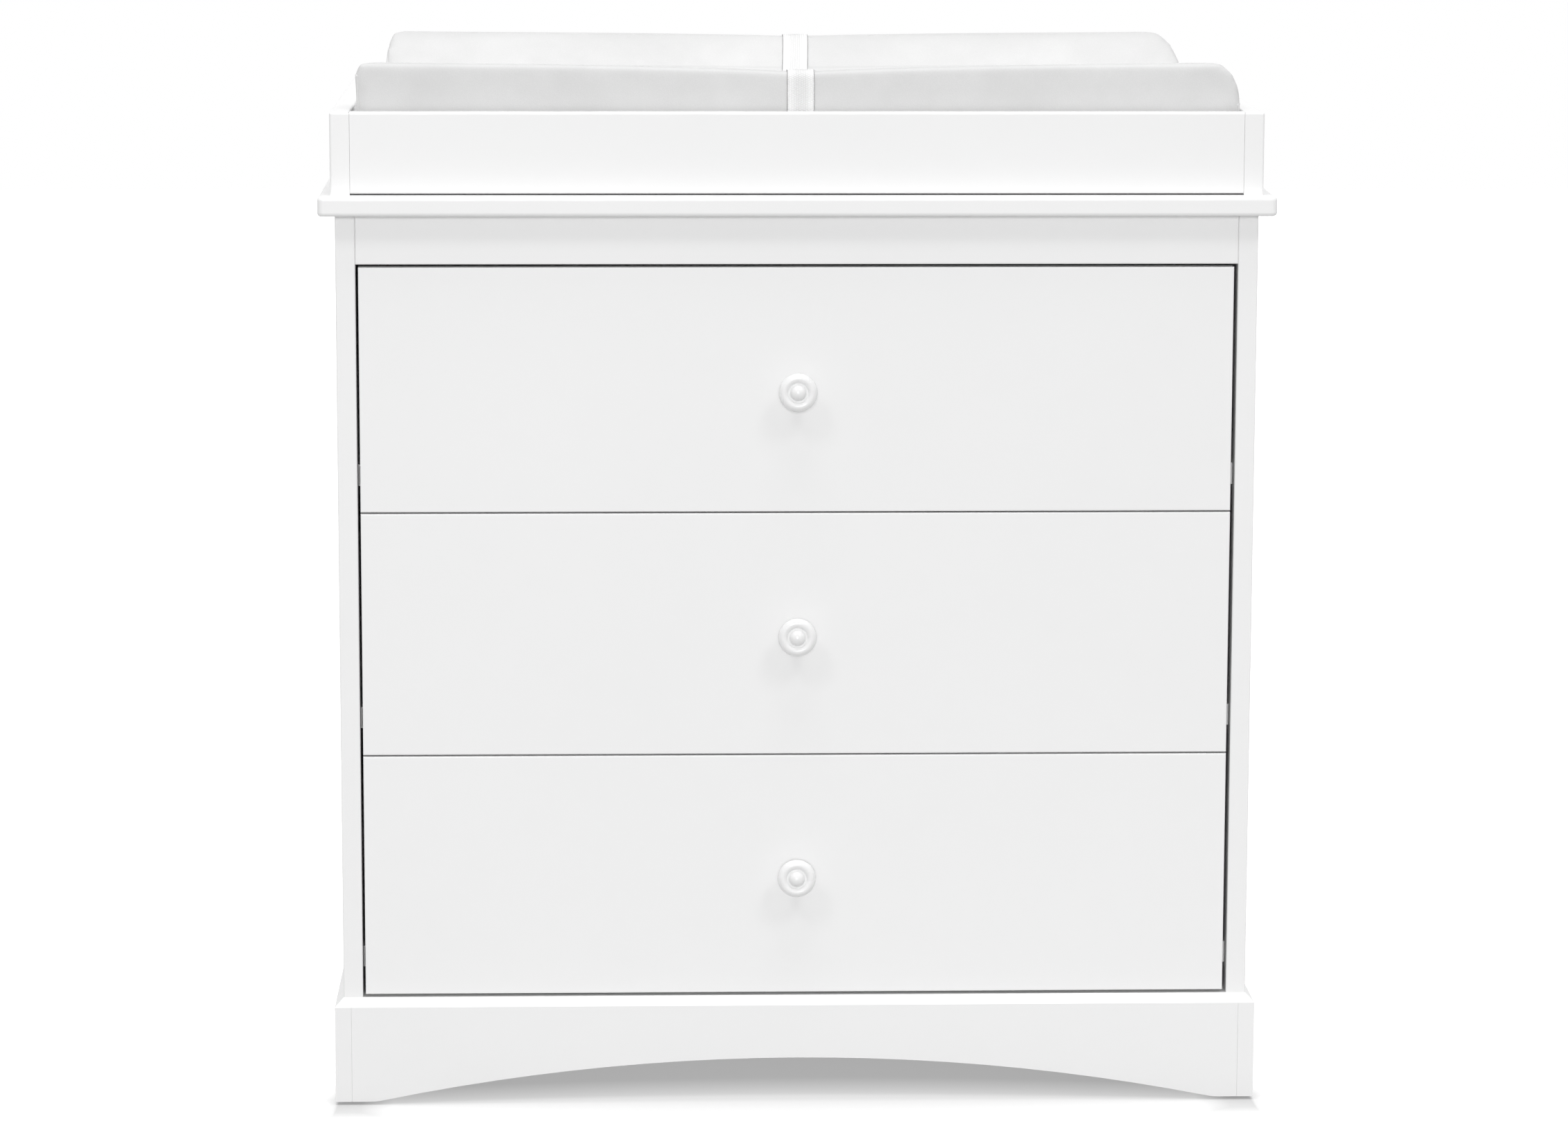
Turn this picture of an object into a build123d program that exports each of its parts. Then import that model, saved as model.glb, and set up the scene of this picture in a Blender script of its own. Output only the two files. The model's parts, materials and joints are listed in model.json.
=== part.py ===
from build123d import *
import os

# A three-drawer changing table: a white dresser with inset drawers on roller runners, a changing tray
# screwed to its top, and a contoured pad with a buckled strap that lies loose in the tray.
# Millimetres, +Z up, front towards -Y, floor at z = 0, origin under the middle of the whole object.

# Carcass
BODY_W = 840.0  # over the side panels
BODY_D = 479.0  # front edge to back edge of the side panels
PANEL_T = 18.0  # side panels
RAIL_T = 18.0  # front and back top rails
FRONT_RAIL_H = 45.0
BACK_RAIL_H = 60.0
BACK_T = 3.0  # back panel
BACK_REBATE = 9.0  # hold of the back panel on each side panel
BACK_LAP = 40.0  # reach of the back panel down over the base
BOTTOM_T = 12.0
EDGE_R = 1.2  # eased edges of painted boards
BOARD_FIT = 0.3  # slack of a board in its groove or rebate

# Dresser top
TOP_T = 18.0
TOP_SIDE_OVERHANG = 15.0
TOP_FRONT_OVERHANG = 18.0
TOP_BACK_OVERHANG = 8.0
TOP_EDGE_R = 3.5
TOP_CORNER_R = 5.0

# Base
BASE_H = 98.0  # base boards, without the glides
BASE_T = 15.0
BASE_PROUD = 8.0  # in front of and beside the carcass
BASE_BEVEL = 8.0
BASE_JOINT_EASE = 0.5  # where the front board meets the side boards
ARCH_FOOT_W = 38.0  # each foot, beside the arch
ARCH_RISE = 40.0
ARCH_FOOT_R = 60.0  # between a foot and the arch
CLEAT_W = 20.0
CLEAT_H = 20.0
GLIDE_H = 3.0
GLIDE_R = 6.5
GLIDE_NAIL_R = 1.2
GLIDE_NAIL_L = 14.0
GLIDE_INSET = 22.0  # from each end of a base side board

# Drawers, from the lowest up
DRAWERS = ("bottom", "middle", "top")
FRONT_H = 224.9
FRONT_T = 18.0
FRONT_GAP = 2.75  # above and below the fronts
FRONT_SPLIT = 1.4  # between the fronts
FRONT_LEFT_GAP = 2.5
FRONT_RIGHT_GAP = 3.5
BOX_H = 160.0
BOX_D = 400.0  # behind the front
BOX_T = 12.0
BOX_LIFT = 24.0  # box's lower edge above the front's
GROOVE = 6.0  # depth of the grooves that hold sides and bottom
DRAWER_BOTTOM_T = 4.0
DRAWER_BOTTOM_LIFT = 10.0  # above the box's lower edge

# Knobs
KNOB_R = 17.5
KNOB_L = 26.0
KNOB_BASE_R = 9.0
KNOB_BASE_T = 2.5
KNOB_BASE_SLOPE = 2.0
KNOB_ROUND = 1.5  # swell of the rim and the ring
KNOB_NECK_R = 6.5
KNOB_HEAD_T = 10.5  # from the rim's back to the top of the dome
KNOB_DOME_R = 7.2
KNOB_DOME_H = 5.0
KNOB_GROOVE_W = 2.4
KNOB_SCREW_R = 2.0
KNOB_SCREW_HEAD_R = 4.0
KNOB_SCREW_HEAD_T = 2.0
KNOB_SCREW_BITE = 12.0

# Roller runners
RUNNER_GAP = 12.7  # between a side panel and a drawer box
RUNNER_T = 1.2  # sheet thickness
RUNNER_INSET = 2.0  # behind the drawer front
RUNNER_SHELF = 10.0  # flange under the drawer side
RUNNER_LIP = 8.0  # screw flange above the drawer's track
RUNNER_SIDE_CLEAR = 1.0
GUIDE_CLEAR = 1.5  # between the drawer's track and the guide flange over it
GUIDE_W = 7.3
ROLLER_R = 7.0
ROLLER_W = 6.0
ROLLER_LIFT = 6.3  # roller axis above the box's lower edge
ROLLER_INSET = 14.0  # roller axis from the end of its runner
ROLLER_SIDE_GAP = 2.4  # from a side panel's runner to the roller
RUN_CLEAR = 0.3
AXLE_R = 2.0
AXLE_FIT = 0.05
AXLE_SHOULDER_R = 3.4
AXLE_HEAD_T = 0.6

# Screws, nails and cam fittings
SCREW_R = 1.75
SCREW_HEAD_R = 3.2
SCREW_HEAD_T = 1.0
SCREW_TIP_L = 3.0
SCREW_TIP_R = 0.4
RECESS_W = 0.9  # cross recess in the heads
SCREW_BITE = 9.0  # of the short runner and bracket screws
BOX_SCREW_L = 30.0
BOX_SCREW_INSET = 45.0  # from the upper and lower edge of a drawer's side
TRAY_SCREW_L = 40.0
BASE_SCREW_L = 56.0
HOLE_FIT = 0.1
SCREW_END_INSET = 40.0  # first and last screw from the end of a runner or cleat
NAIL_R = 0.8
NAIL_L = 15.0
NAIL_HEAD_R = 3.0
NAIL_HEAD_T = 0.8
NAIL_PITCH = 155.0
CAM_R = 7.5
CAM_T = 12.5
CAM_SETBACK = 24.0  # cam axis from the end of its board
CAM_SLOT_W = 1.5
CAM_SLOT_DEPTH = 1.2
CAM_BOLT_R = 3.0
CAM_BOLT_NECK_R = 2.2
CAM_BOLT_BITE = 11.0
CAM_INSET = 60.0  # of the top's fittings from the front and back
ANCHOR_R = 1.75  # pilot holes for a wall anchor
ANCHOR_L = 15.0
ANCHOR_X = 300.0
ANCHOR_ENTRY_R = 4.0  # hole for it in the back panel

# Changing tray
TRAY_T = 18.0
TRAY_H = 75.0
TRAY_SIDE_INSET = 11.0  # from the edges of the dresser top
TRAY_FRONT_INSET = 18.0
TRAY_BACK_INSET = 20.0
TRAY_FOOT_GAP = 1.2  # under the front and back rails
TRAY_SEAM = 0.2
TRAY_EDGE_R = 2.0
TRAY_SCREW_INSET = 18.0  # from a rail's upper and lower edge
BRACKET_T = 2.0
BRACKET_W = 20.0
BRACKET_H = 32.0
BRACKET_D = 16.0
BRACKET_X = 250.0
BRACKET_SCREW_EDGE = 6.0

# Pad, strap and buckle
PAD_CREST = 116.0
PAD_VALLEY = 58.0
PAD_END_GAP = 1.0
PAD_SIDE_GAP = 5.5
PAD_LOW_R = 12.0
PAD_CREST_IN = 8.0  # crest line from the pad's long edge
PAD_SLOPE_W = 112.0  # from the crest line down to the valley
PAD_LEFT_R = 8.0
PAD_RIGHT_W = 25.0  # rounded fall of the right end
PAD_RIGHT_H = 36.0
SOFT_CLEAR = 0.3
STRAP_W = 25.0
STRAP_T = 1.6
STRAP_X = 3.0
STRAP_FOOT = 14.0  # sewn end of the strap above the pad's underside
BUCKLE_W = 33.0
BUCKLE_H = 9.0
BUCKLE_WALL = 1.6
SOCKET_L = 31.0
TONGUE_L = 14.0
PRONG_L = 20.0
PRONG_W = 4.0
PRONG_CLEAR = 0.5
BUCKLE_SLOT = 3.0
BUCKLE_BAR = 2.6
BUCKLE_R = 2.0

# Planes that the pieces share
INNER_X = BODY_W / 2 - PANEL_T
FACE_Y = (max(KNOB_L, TOP_FRONT_OVERHANG) - BODY_D - TOP_BACK_OVERHANG) / 2
BACK_Y = FACE_Y + BODY_D
BASE_FRONT_Y = FACE_Y - BASE_PROUD
BASE_X = BODY_W / 2 + BASE_PROUD
BASE_TOP = GLIDE_H + BASE_H
ARCH_X = BASE_X - ARCH_FOOT_W
BOTTOM_LOW = BASE_TOP - BOTTOM_T
CLEAT_LOW = BOTTOM_LOW - CLEAT_H
FRONT_PITCH = FRONT_H + FRONT_SPLIT
OPENING_TOP = BASE_TOP + len(DRAWERS) * FRONT_PITCH - FRONT_SPLIT + 2 * FRONT_GAP
TOP_LOW = OPENING_TOP + FRONT_RAIL_H
TOP_HIGH = TOP_LOW + TOP_T
BACK_RAIL_LOW = TOP_LOW - BACK_RAIL_H
BACK_RAIL_Y = BACK_Y - BACK_T - RAIL_T
TOP_X = BODY_W / 2 + TOP_SIDE_OVERHANG
TOP_FRONT_Y = FACE_Y - TOP_FRONT_OVERHANG
TOP_BACK_Y = BACK_Y + TOP_BACK_OVERHANG
BOX_X = INNER_X - RUNNER_GAP
BOX_FRONT_Y = FACE_Y + FRONT_T
BOX_BACK_Y = BOX_FRONT_Y + BOX_D
RUNNER_FRONT_Y = BOX_FRONT_Y + RUNNER_INSET
RUNNER_MID_Y = (RUNNER_FRONT_Y + BOX_BACK_Y) / 2
RUNNER_SCREW_Y = (RUNNER_FRONT_Y + SCREW_END_INSET, RUNNER_MID_Y, BOX_BACK_Y - SCREW_END_INSET)
TRAY_X = TOP_X - TRAY_SIDE_INSET
TRAY_IN_X = TRAY_X - TRAY_T
TRAY_FRONT_Y = TOP_FRONT_Y + TRAY_FRONT_INSET
TRAY_BACK_Y = TOP_BACK_Y - TRAY_BACK_INSET
TRAY_TOP = TOP_HIGH + TRAY_H
PAD_LOW = TOP_HIGH + SOFT_CLEAR
PAD_X = TRAY_IN_X - PAD_END_GAP
PAD_Y = (TRAY_FRONT_Y + TRAY_BACK_Y) / 2
PAD_HALF = (TRAY_BACK_Y - TRAY_FRONT_Y) / 2 - TRAY_T - PAD_SIDE_GAP

LEFT, RIGHT = -1, 1
SIDES = {"left": LEFT, "right": RIGHT}


def block(x_range, y_range, z_range):
    """A box between two corners, given as its ranges along X, Y and Z."""
    sizes = [abs(b - a) for a, b in (x_range, y_range, z_range)]
    middle = [(a + b) / 2 for a, b in (x_range, y_range, z_range)]
    return Pos(*middle) * Box(*sizes)


def rod(radius, start, end, axis_frame):
    """A round bar along a frame's Z axis, between two distances from its origin."""
    return axis_frame * Pos(0, 0, (start + end) / 2) * Cylinder(radius, abs(end - start))


def eased(part, radius, *axes):
    """A board with its edges along the named axes rounded."""
    for axis in axes:
        part = fillet(part.edges().filter_by(axis), radius)
    return part


def front_eased(part, radius):
    """A board with the edges of its front face rounded."""
    return fillet(part.edges().group_by(Axis.Y)[0], radius)


def screw(frame, length, head_r=SCREW_HEAD_R, head_t=SCREW_HEAD_T, shank_r=SCREW_R):
    """A screw that points down a frame's Z axis, with the underside of its slotted head at the origin."""
    shank = rod(shank_r, 0, SCREW_TIP_L - length, frame)
    tip = frame * Pos(0, 0, SCREW_TIP_L / 2 - length) * Cone(SCREW_TIP_R, shank_r, SCREW_TIP_L)
    head = rod(head_r, 0, head_t, frame)
    slot = frame * Pos(0, 0, head_t) * Box(head_r, RECESS_W, head_t)
    cross = frame * Pos(0, 0, head_t) * Box(RECESS_W, head_r, head_t)
    return shank + tip + (head - slot - cross)


def screw_hole(frame, length, shank_r=SCREW_R):
    """The hole for a screw's shank, from just above its head's underside."""
    return rod(shank_r + HOLE_FIT, HOLE_FIT, -length - HOLE_FIT, frame)


def head_recess(frame, head_r=SCREW_HEAD_R, head_t=SCREW_HEAD_T):
    """The recess that sinks a screw's head level with a board."""
    return rod(head_r + HOLE_FIT, 0, head_t + HOLE_FIT, frame)


def cam_joint(point, into, face, board_t):
    """A cam lock in a board's face, and the bolt that reaches it from the board it meets at a point.

    The bolt runs along into, and face points out of the cam's side of its board.
    Gives the lock, the bolt and the hole to cut in both boards.
    """
    frame = Plane(origin=point, x_dir=face, z_dir=into)
    cam_frame = frame * Plane(origin=(board_t / 2, 0, CAM_SETBACK), x_dir=(0, 0, 1), z_dir=(1, 0, 0))
    bolt_end = CAM_SETBACK + CAM_BOLT_R
    bolt = rod(CAM_BOLT_R, -CAM_BOLT_BITE, 0, frame)
    bolt += rod(CAM_BOLT_NECK_R, 0, bolt_end - CAM_BOLT_R, frame)
    bolt += rod(CAM_BOLT_R, bolt_end - 2 * CAM_BOLT_R, bolt_end, frame)
    way = rod(CAM_BOLT_R + HOLE_FIT, -CAM_BOLT_BITE - HOLE_FIT, bolt_end + HOLE_FIT, frame)
    slot = cam_frame * Box(CAM_R, CAM_SLOT_W, 2 * CAM_SLOT_DEPTH)
    cross = cam_frame * Box(CAM_SLOT_W, CAM_R, 2 * CAM_SLOT_DEPTH)
    lock = rod(CAM_R, -CAM_T, 0, cam_frame) - way - slot - cross
    pocket = rod(CAM_R + HOLE_FIT, -CAM_T - HOLE_FIT, HOLE_FIT, cam_frame)
    return lock, bolt, pocket + way


def drawer_low(level):
    """Height of the lower edge of a drawer's front."""
    return BASE_TOP + FRONT_GAP + level * FRONT_PITCH


def box_low(level):
    """Height of the lower edge of a drawer's box."""
    return drawer_low(level) + BOX_LIFT


def runner_frame(side, level):
    """A frame whose X axis points from a side panel to the drawer, with its origin level with the axles."""
    origin = (side * INNER_X, 0, box_low(level) + ROLLER_LIFT)
    return Plane(origin=origin, x_dir=(-side, 0, 0), z_dir=(0, side, 0))


def runner_sheet(frame, x_range, z_range, y_range):
    """A flat of a runner: across the gap, up from the axles, and along Y."""
    x0, x1 = sorted(frame.origin.X + frame.x_dir.X * x for x in x_range)
    return block((x0, x1), y_range, [frame.origin.Z + z for z in z_range])


def axle_frame(frame, across, y):
    """A frame on an axle's line, with its Z axis from the side panel to the drawer."""
    origin = (frame.origin.X + frame.x_dir.X * across, y, frame.origin.Z)
    return Plane(origin=origin, z_dir=frame.x_dir)


# Where the runners' flats lie, from the axle line and from the side panel
TRACK_LOW = ROLLER_R + RUN_CLEAR
TRACK_HIGH = TRACK_LOW + RUNNER_T
GUIDE_LOW = TRACK_HIGH + GUIDE_CLEAR
GUIDE_HIGH = GUIDE_LOW + RUNNER_T
BED_HIGH = -ROLLER_R - RUN_CLEAR
BED_LOW = BED_HIGH - RUNNER_T
WEB_IN = RUNNER_GAP - RUNNER_T
ROLLER_IN = RUNNER_T + ROLLER_SIDE_GAP
ROLLER_OUT = ROLLER_IN + ROLLER_W
RUNNER_SCREW_UP = TRACK_HIGH + RUNNER_LIP - SCREW_HEAD_R - HOLE_FIT
CABINET_AXLE_Y = RUNNER_FRONT_Y + ROLLER_INSET
DRAWER_AXLE_Y = BOX_BACK_Y - ROLLER_INSET


def cabinet_screw_frames(side, level):
    """Frames of the screws that hold a runner to a side panel."""
    frame = runner_frame(side, level)
    return [axle_frame(frame, RUNNER_T, y) for y in RUNNER_SCREW_Y]


def drawer_screw_frames(side, level):
    """Frames of the screws that hold a runner to a drawer's side."""
    frame = runner_frame(side, level)
    up = frame.origin.Z + RUNNER_SCREW_UP
    return [Plane(origin=(side * (BOX_X + RUNNER_T), y, up), z_dir=(side, 0, 0)) for y in RUNNER_SCREW_Y]


def box_screw_frames(side, level):
    """Frames of the sunk screws that hold a drawer's side to its back."""
    y = BOX_BACK_Y - BOX_T / 2
    heights = (box_low(level) + BOX_SCREW_INSET, box_low(level) + BOX_H - BOX_SCREW_INSET)
    return [Plane(origin=(side * (BOX_X - SCREW_HEAD_T), y, z), z_dir=(side, 0, 0)) for z in heights]


def cabinet_runner(side, level):
    """The runner on a side panel: a channel with a guide flange and an axle near its front."""
    frame = runner_frame(side, level)
    length = (RUNNER_FRONT_Y, BOX_BACK_Y)
    runner = runner_sheet(frame, (0, RUNNER_T), (BED_LOW, GUIDE_HIGH), length)
    runner += runner_sheet(frame, (0, WEB_IN - RUNNER_SIDE_CLEAR), (BED_LOW, BED_HIGH), length)
    runner += runner_sheet(frame, (0, RUNNER_T + GUIDE_W), (GUIDE_LOW, GUIDE_HIGH), length)
    runner -= [screw_hole(hole, RUNNER_T) for hole in cabinet_screw_frames(side, level)]
    axle = axle_frame(frame, 0, CABINET_AXLE_Y)
    runner += rod(AXLE_SHOULDER_R, RUNNER_T / 2, ROLLER_IN - RUN_CLEAR, axle)
    runner += rod(AXLE_R, RUNNER_T / 2, ROLLER_OUT + RUN_CLEAR + AXLE_HEAD_T, axle)
    runner += rod(AXLE_SHOULDER_R, ROLLER_OUT + RUN_CLEAR, ROLLER_OUT + RUN_CLEAR + AXLE_HEAD_T, axle)
    return runner


def drawer_runner(side, level):
    """The runner on a drawer: a web with a track, a shelf under the side and an axle near its back."""
    frame = runner_frame(side, level)
    length = (RUNNER_FRONT_Y, BOX_BACK_Y)
    shelf_z = (-ROLLER_LIFT - RUNNER_T, -ROLLER_LIFT)
    runner = runner_sheet(frame, (WEB_IN, RUNNER_GAP), (shelf_z[0], TRACK_HIGH + RUNNER_LIP), length)
    runner += runner_sheet(frame, (WEB_IN, RUNNER_GAP + RUNNER_SHELF), shelf_z, length)
    runner += runner_sheet(frame, (ROLLER_IN, WEB_IN), (TRACK_LOW, TRACK_HIGH), length)
    runner -= [screw_hole(hole, RUNNER_T) for hole in drawer_screw_frames(side, level)]
    axle = axle_frame(frame, 0, DRAWER_AXLE_Y)
    runner += rod(AXLE_SHOULDER_R, ROLLER_OUT + RUN_CLEAR, WEB_IN + RUNNER_T / 2, axle)
    runner += rod(AXLE_R, ROLLER_IN - RUN_CLEAR - AXLE_HEAD_T, WEB_IN + RUNNER_T / 2, axle)
    runner += rod(AXLE_SHOULDER_R, ROLLER_IN - RUN_CLEAR - AXLE_HEAD_T, ROLLER_IN - RUN_CLEAR, axle)
    return runner


def roller(side, level, y):
    """A nylon roller on a runner's axle."""
    axle = axle_frame(runner_frame(side, level), 0, y)
    tyre = fillet(rod(ROLLER_R, ROLLER_IN, ROLLER_OUT, axle).edges(), EDGE_R)
    return tyre - rod(AXLE_R + AXLE_FIT, ROLLER_IN - 1, ROLLER_OUT + 1, axle)


def on_both_sides(make, *values):
    """The left and right copies of a piece."""
    return [make(side, *values) for side in SIDES.values()]


def knob(z):
    """A turned knob with a rounded ring and a dome, on the middle of a drawer's front."""
    rim_back = KNOB_L - KNOB_HEAD_T
    groove_t = KNOB_L - KNOB_DOME_H
    ring_in = KNOB_DOME_R + KNOB_GROOVE_W
    ring_mid = (ring_in + KNOB_R) / 2
    neck = (KNOB_NECK_R, KNOB_BASE_T + KNOB_BASE_SLOPE)
    neck_bend = (KNOB_NECK_R + KNOB_ROUND, (neck[1] + rim_back) / 2 + KNOB_ROUND)
    rim_low = (KNOB_R - KNOB_ROUND, rim_back)
    rim_front = (KNOB_R - KNOB_ROUND, groove_t)
    with BuildSketch(Plane.XY) as profile:
        with BuildLine():
            Polyline((0, KNOB_L), (0, 0), (KNOB_BASE_R, 0), (KNOB_BASE_R, KNOB_BASE_T), neck)
            ThreePointArc(neck, neck_bend, rim_low)
            ThreePointArc(rim_low, (KNOB_R, (rim_back + groove_t) / 2), rim_front)
            ThreePointArc(rim_front, (ring_mid, groove_t + KNOB_ROUND), (ring_in, groove_t))
            groove_bend = (KNOB_DOME_R + KNOB_GROOVE_W / 2, groove_t - KNOB_GROOVE_W / 3)
            ThreePointArc((ring_in, groove_t), groove_bend, (KNOB_DOME_R, groove_t))
            TangentArc((0, KNOB_L), (KNOB_DOME_R, groove_t), tangent=(1, 0))
        make_face()
    turned = Pos(0, FACE_Y, z) * Rot(0, 0, 180) * revolve(profile.sketch, Axis.Y)
    return turned - screw_hole(knob_screw_frame(z), FRONT_T + KNOB_SCREW_BITE, KNOB_SCREW_R)


def knob_screw_frame(z):
    """Frame of a knob's screw, with its head against the inside of the drawer's front."""
    return Plane(origin=(0, BOX_FRONT_Y, z), z_dir=(0, 1, 0))


def drawer_nodes(name, level):
    """A drawer's boards, knob, screws, runners and rollers."""
    low = drawer_low(level)
    box = box_low(level)
    knob_z = low + FRONT_H / 2
    front_x = (FRONT_LEFT_GAP - INNER_X, INNER_X - FRONT_RIGHT_GAP)
    inside_x = BOX_X - BOX_T
    back_y = BOX_BACK_Y - BOX_T
    box_z = (box, box + BOX_H)
    bottom_z = (box + DRAWER_BOTTOM_LIFT, box + DRAWER_BOTTOM_LIFT + DRAWER_BOTTOM_T)
    groove_z = (bottom_z[0] - BOARD_FIT / 2, bottom_z[1] + BOARD_FIT / 2)
    bottom_groove = block(
        (-inside_x - GROOVE, inside_x + GROOVE), (BOX_FRONT_Y - GROOVE, back_y + GROOVE), groove_z
    )
    front = front_eased(block(front_x, (FACE_Y, BOX_FRONT_Y), (low, low + FRONT_H)), EDGE_R)
    back = block((-inside_x, inside_x), (back_y, BOX_BACK_Y), box_z) - bottom_groove
    front -= bottom_groove
    front -= screw_hole(knob_screw_frame(knob_z), FRONT_T, KNOB_SCREW_R)
    length = FRONT_T + KNOB_SCREW_BITE
    screws = [screw(knob_screw_frame(knob_z), length, KNOB_SCREW_HEAD_R, KNOB_SCREW_HEAD_T, KNOB_SCREW_R)]
    nodes = {}
    for word, side in SIDES.items():
        board = block((side * inside_x, side * BOX_X), (BOX_FRONT_Y - GROOVE, BOX_BACK_Y), box_z)
        front -= block((side * inside_x, side * BOX_X), (BOX_FRONT_Y - GROOVE, BOX_FRONT_Y), box_z)
        box_frames = box_screw_frames(side, level)
        runner_frames = drawer_screw_frames(side, level)
        box_holes = [screw_hole(frame, BOX_SCREW_L) for frame in box_frames]
        runner_holes = [screw_hole(frame, RUNNER_T + SCREW_BITE) for frame in runner_frames]
        sinks = [head_recess(frame) for frame in box_frames]
        back -= box_holes
        nodes[f"{name}_drawer_{word}_side"] = board - [bottom_groove, *box_holes, *runner_holes, *sinks]
        screws += [screw(frame, BOX_SCREW_L) for frame in box_frames]
        screws += [screw(frame, RUNNER_T + SCREW_BITE) for frame in runner_frames]
    floor_x = inside_x + GROOVE - BOARD_FIT
    floor_y = (BOX_FRONT_Y - GROOVE + BOARD_FIT, back_y + GROOVE - BOARD_FIT)
    nodes[f"{name}_drawer_front"] = front
    nodes[f"{name}_drawer_back"] = back
    nodes[f"{name}_drawer_bottom"] = block((-floor_x, floor_x), floor_y, bottom_z)
    nodes[f"{name}_drawer_knob"] = knob(knob_z)
    nodes[f"{name}_drawer_screws"] = screws
    nodes[f"{name}_drawer_runners"] = on_both_sides(drawer_runner, level)
    nodes[f"{name}_rear_rollers"] = on_both_sides(roller, level, DRAWER_AXLE_Y)
    nodes[f"{name}_front_rollers"] = on_both_sides(roller, level, CABINET_AXLE_Y)
    return nodes


def cam_joints():
    """The cam joints of the top rails and the dresser top, by the boards that they join."""
    joints = []
    rail_z = (OPENING_TOP + TOP_LOW) / 2
    back_z = (BACK_RAIL_LOW + TOP_LOW) / 2
    for side in SIDES.values():
        into = (-side, 0, 0)
        front = (side * INNER_X, FACE_Y + RAIL_T / 2, rail_z)
        back = (side * INNER_X, BACK_RAIL_Y + RAIL_T / 2, back_z)
        joints.append(({"front_top_rail", side}, cam_joint(front, into, (0, 1, 0), RAIL_T)))
        joints.append(({"back_top_rail", side}, cam_joint(back, into, (0, -1, 0), RAIL_T)))
        for y in (FACE_Y + CAM_INSET, BACK_Y - CAM_INSET):
            point = (side * (INNER_X + PANEL_T / 2), y, TOP_LOW)
            joints.append(({"dresser_top", side}, cam_joint(point, (0, 0, -1), into, PANEL_T)))
    return joints


def cam_holes(joints, board):
    """The holes that the cam joints cut in one board, named or given by its side."""
    return [hole for boards, (_, _, hole) in joints if board in boards]


def spread(start, end, pitch):
    """Places a pitch apart, as many as fit from start to end, in the middle of the way."""
    spaces = int((end - start) / pitch)
    first = (start + end - spaces * pitch) / 2
    return [first + pitch * i for i in range(spaces + 1)]


def nail_frames():
    """Frames of the nails round the back panel, pointing forwards."""
    panel_x = INNER_X + BACK_REBATE / 2
    low = BASE_TOP - BACK_LAP / 2
    heights = spread(BASE_TOP + BACK_LAP, BACK_RAIL_LOW, NAIL_PITCH)
    places = [(side * panel_x, z) for side in SIDES.values() for z in heights]
    across = spread(-INNER_X + BACK_LAP, INNER_X - BACK_LAP, NAIL_PITCH)
    places += [(x, z) for x in across for z in (low, TOP_LOW - CAM_R)]
    return [Plane(origin=(x, BACK_Y, z), z_dir=(0, 1, 0)) for x, z in places]


def nail(frame):
    """A flat-headed nail that points down a frame's Z axis."""
    return rod(NAIL_R, 0, -NAIL_L, frame) + rod(NAIL_HEAD_R, 0, NAIL_HEAD_T, frame)


def base_screw_frames(side):
    """Frames of the screws that go up through a cleat and the bottom panel into a side panel."""
    x = side * (INNER_X + (BASE_X - BASE_T - INNER_X) / 2)
    front = FACE_Y + BASE_T - BASE_PROUD + SCREW_END_INSET
    back = BACK_Y - BACK_T - BASE_T - SCREW_END_INSET
    return [Plane(origin=(x, y, CLEAT_LOW), z_dir=(0, 0, -1)) for y in (front, (front + back) / 2, back)]


def anchor_frames():
    """Frames of the pilot holes for a wall anchor, in the back top rail."""
    z = (BACK_RAIL_LOW + TOP_LOW) / 2
    return [Plane(origin=(side * ANCHOR_X, BACK_Y - BACK_T, z), z_dir=(0, 1, 0)) for side in SIDES.values()]


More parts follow.
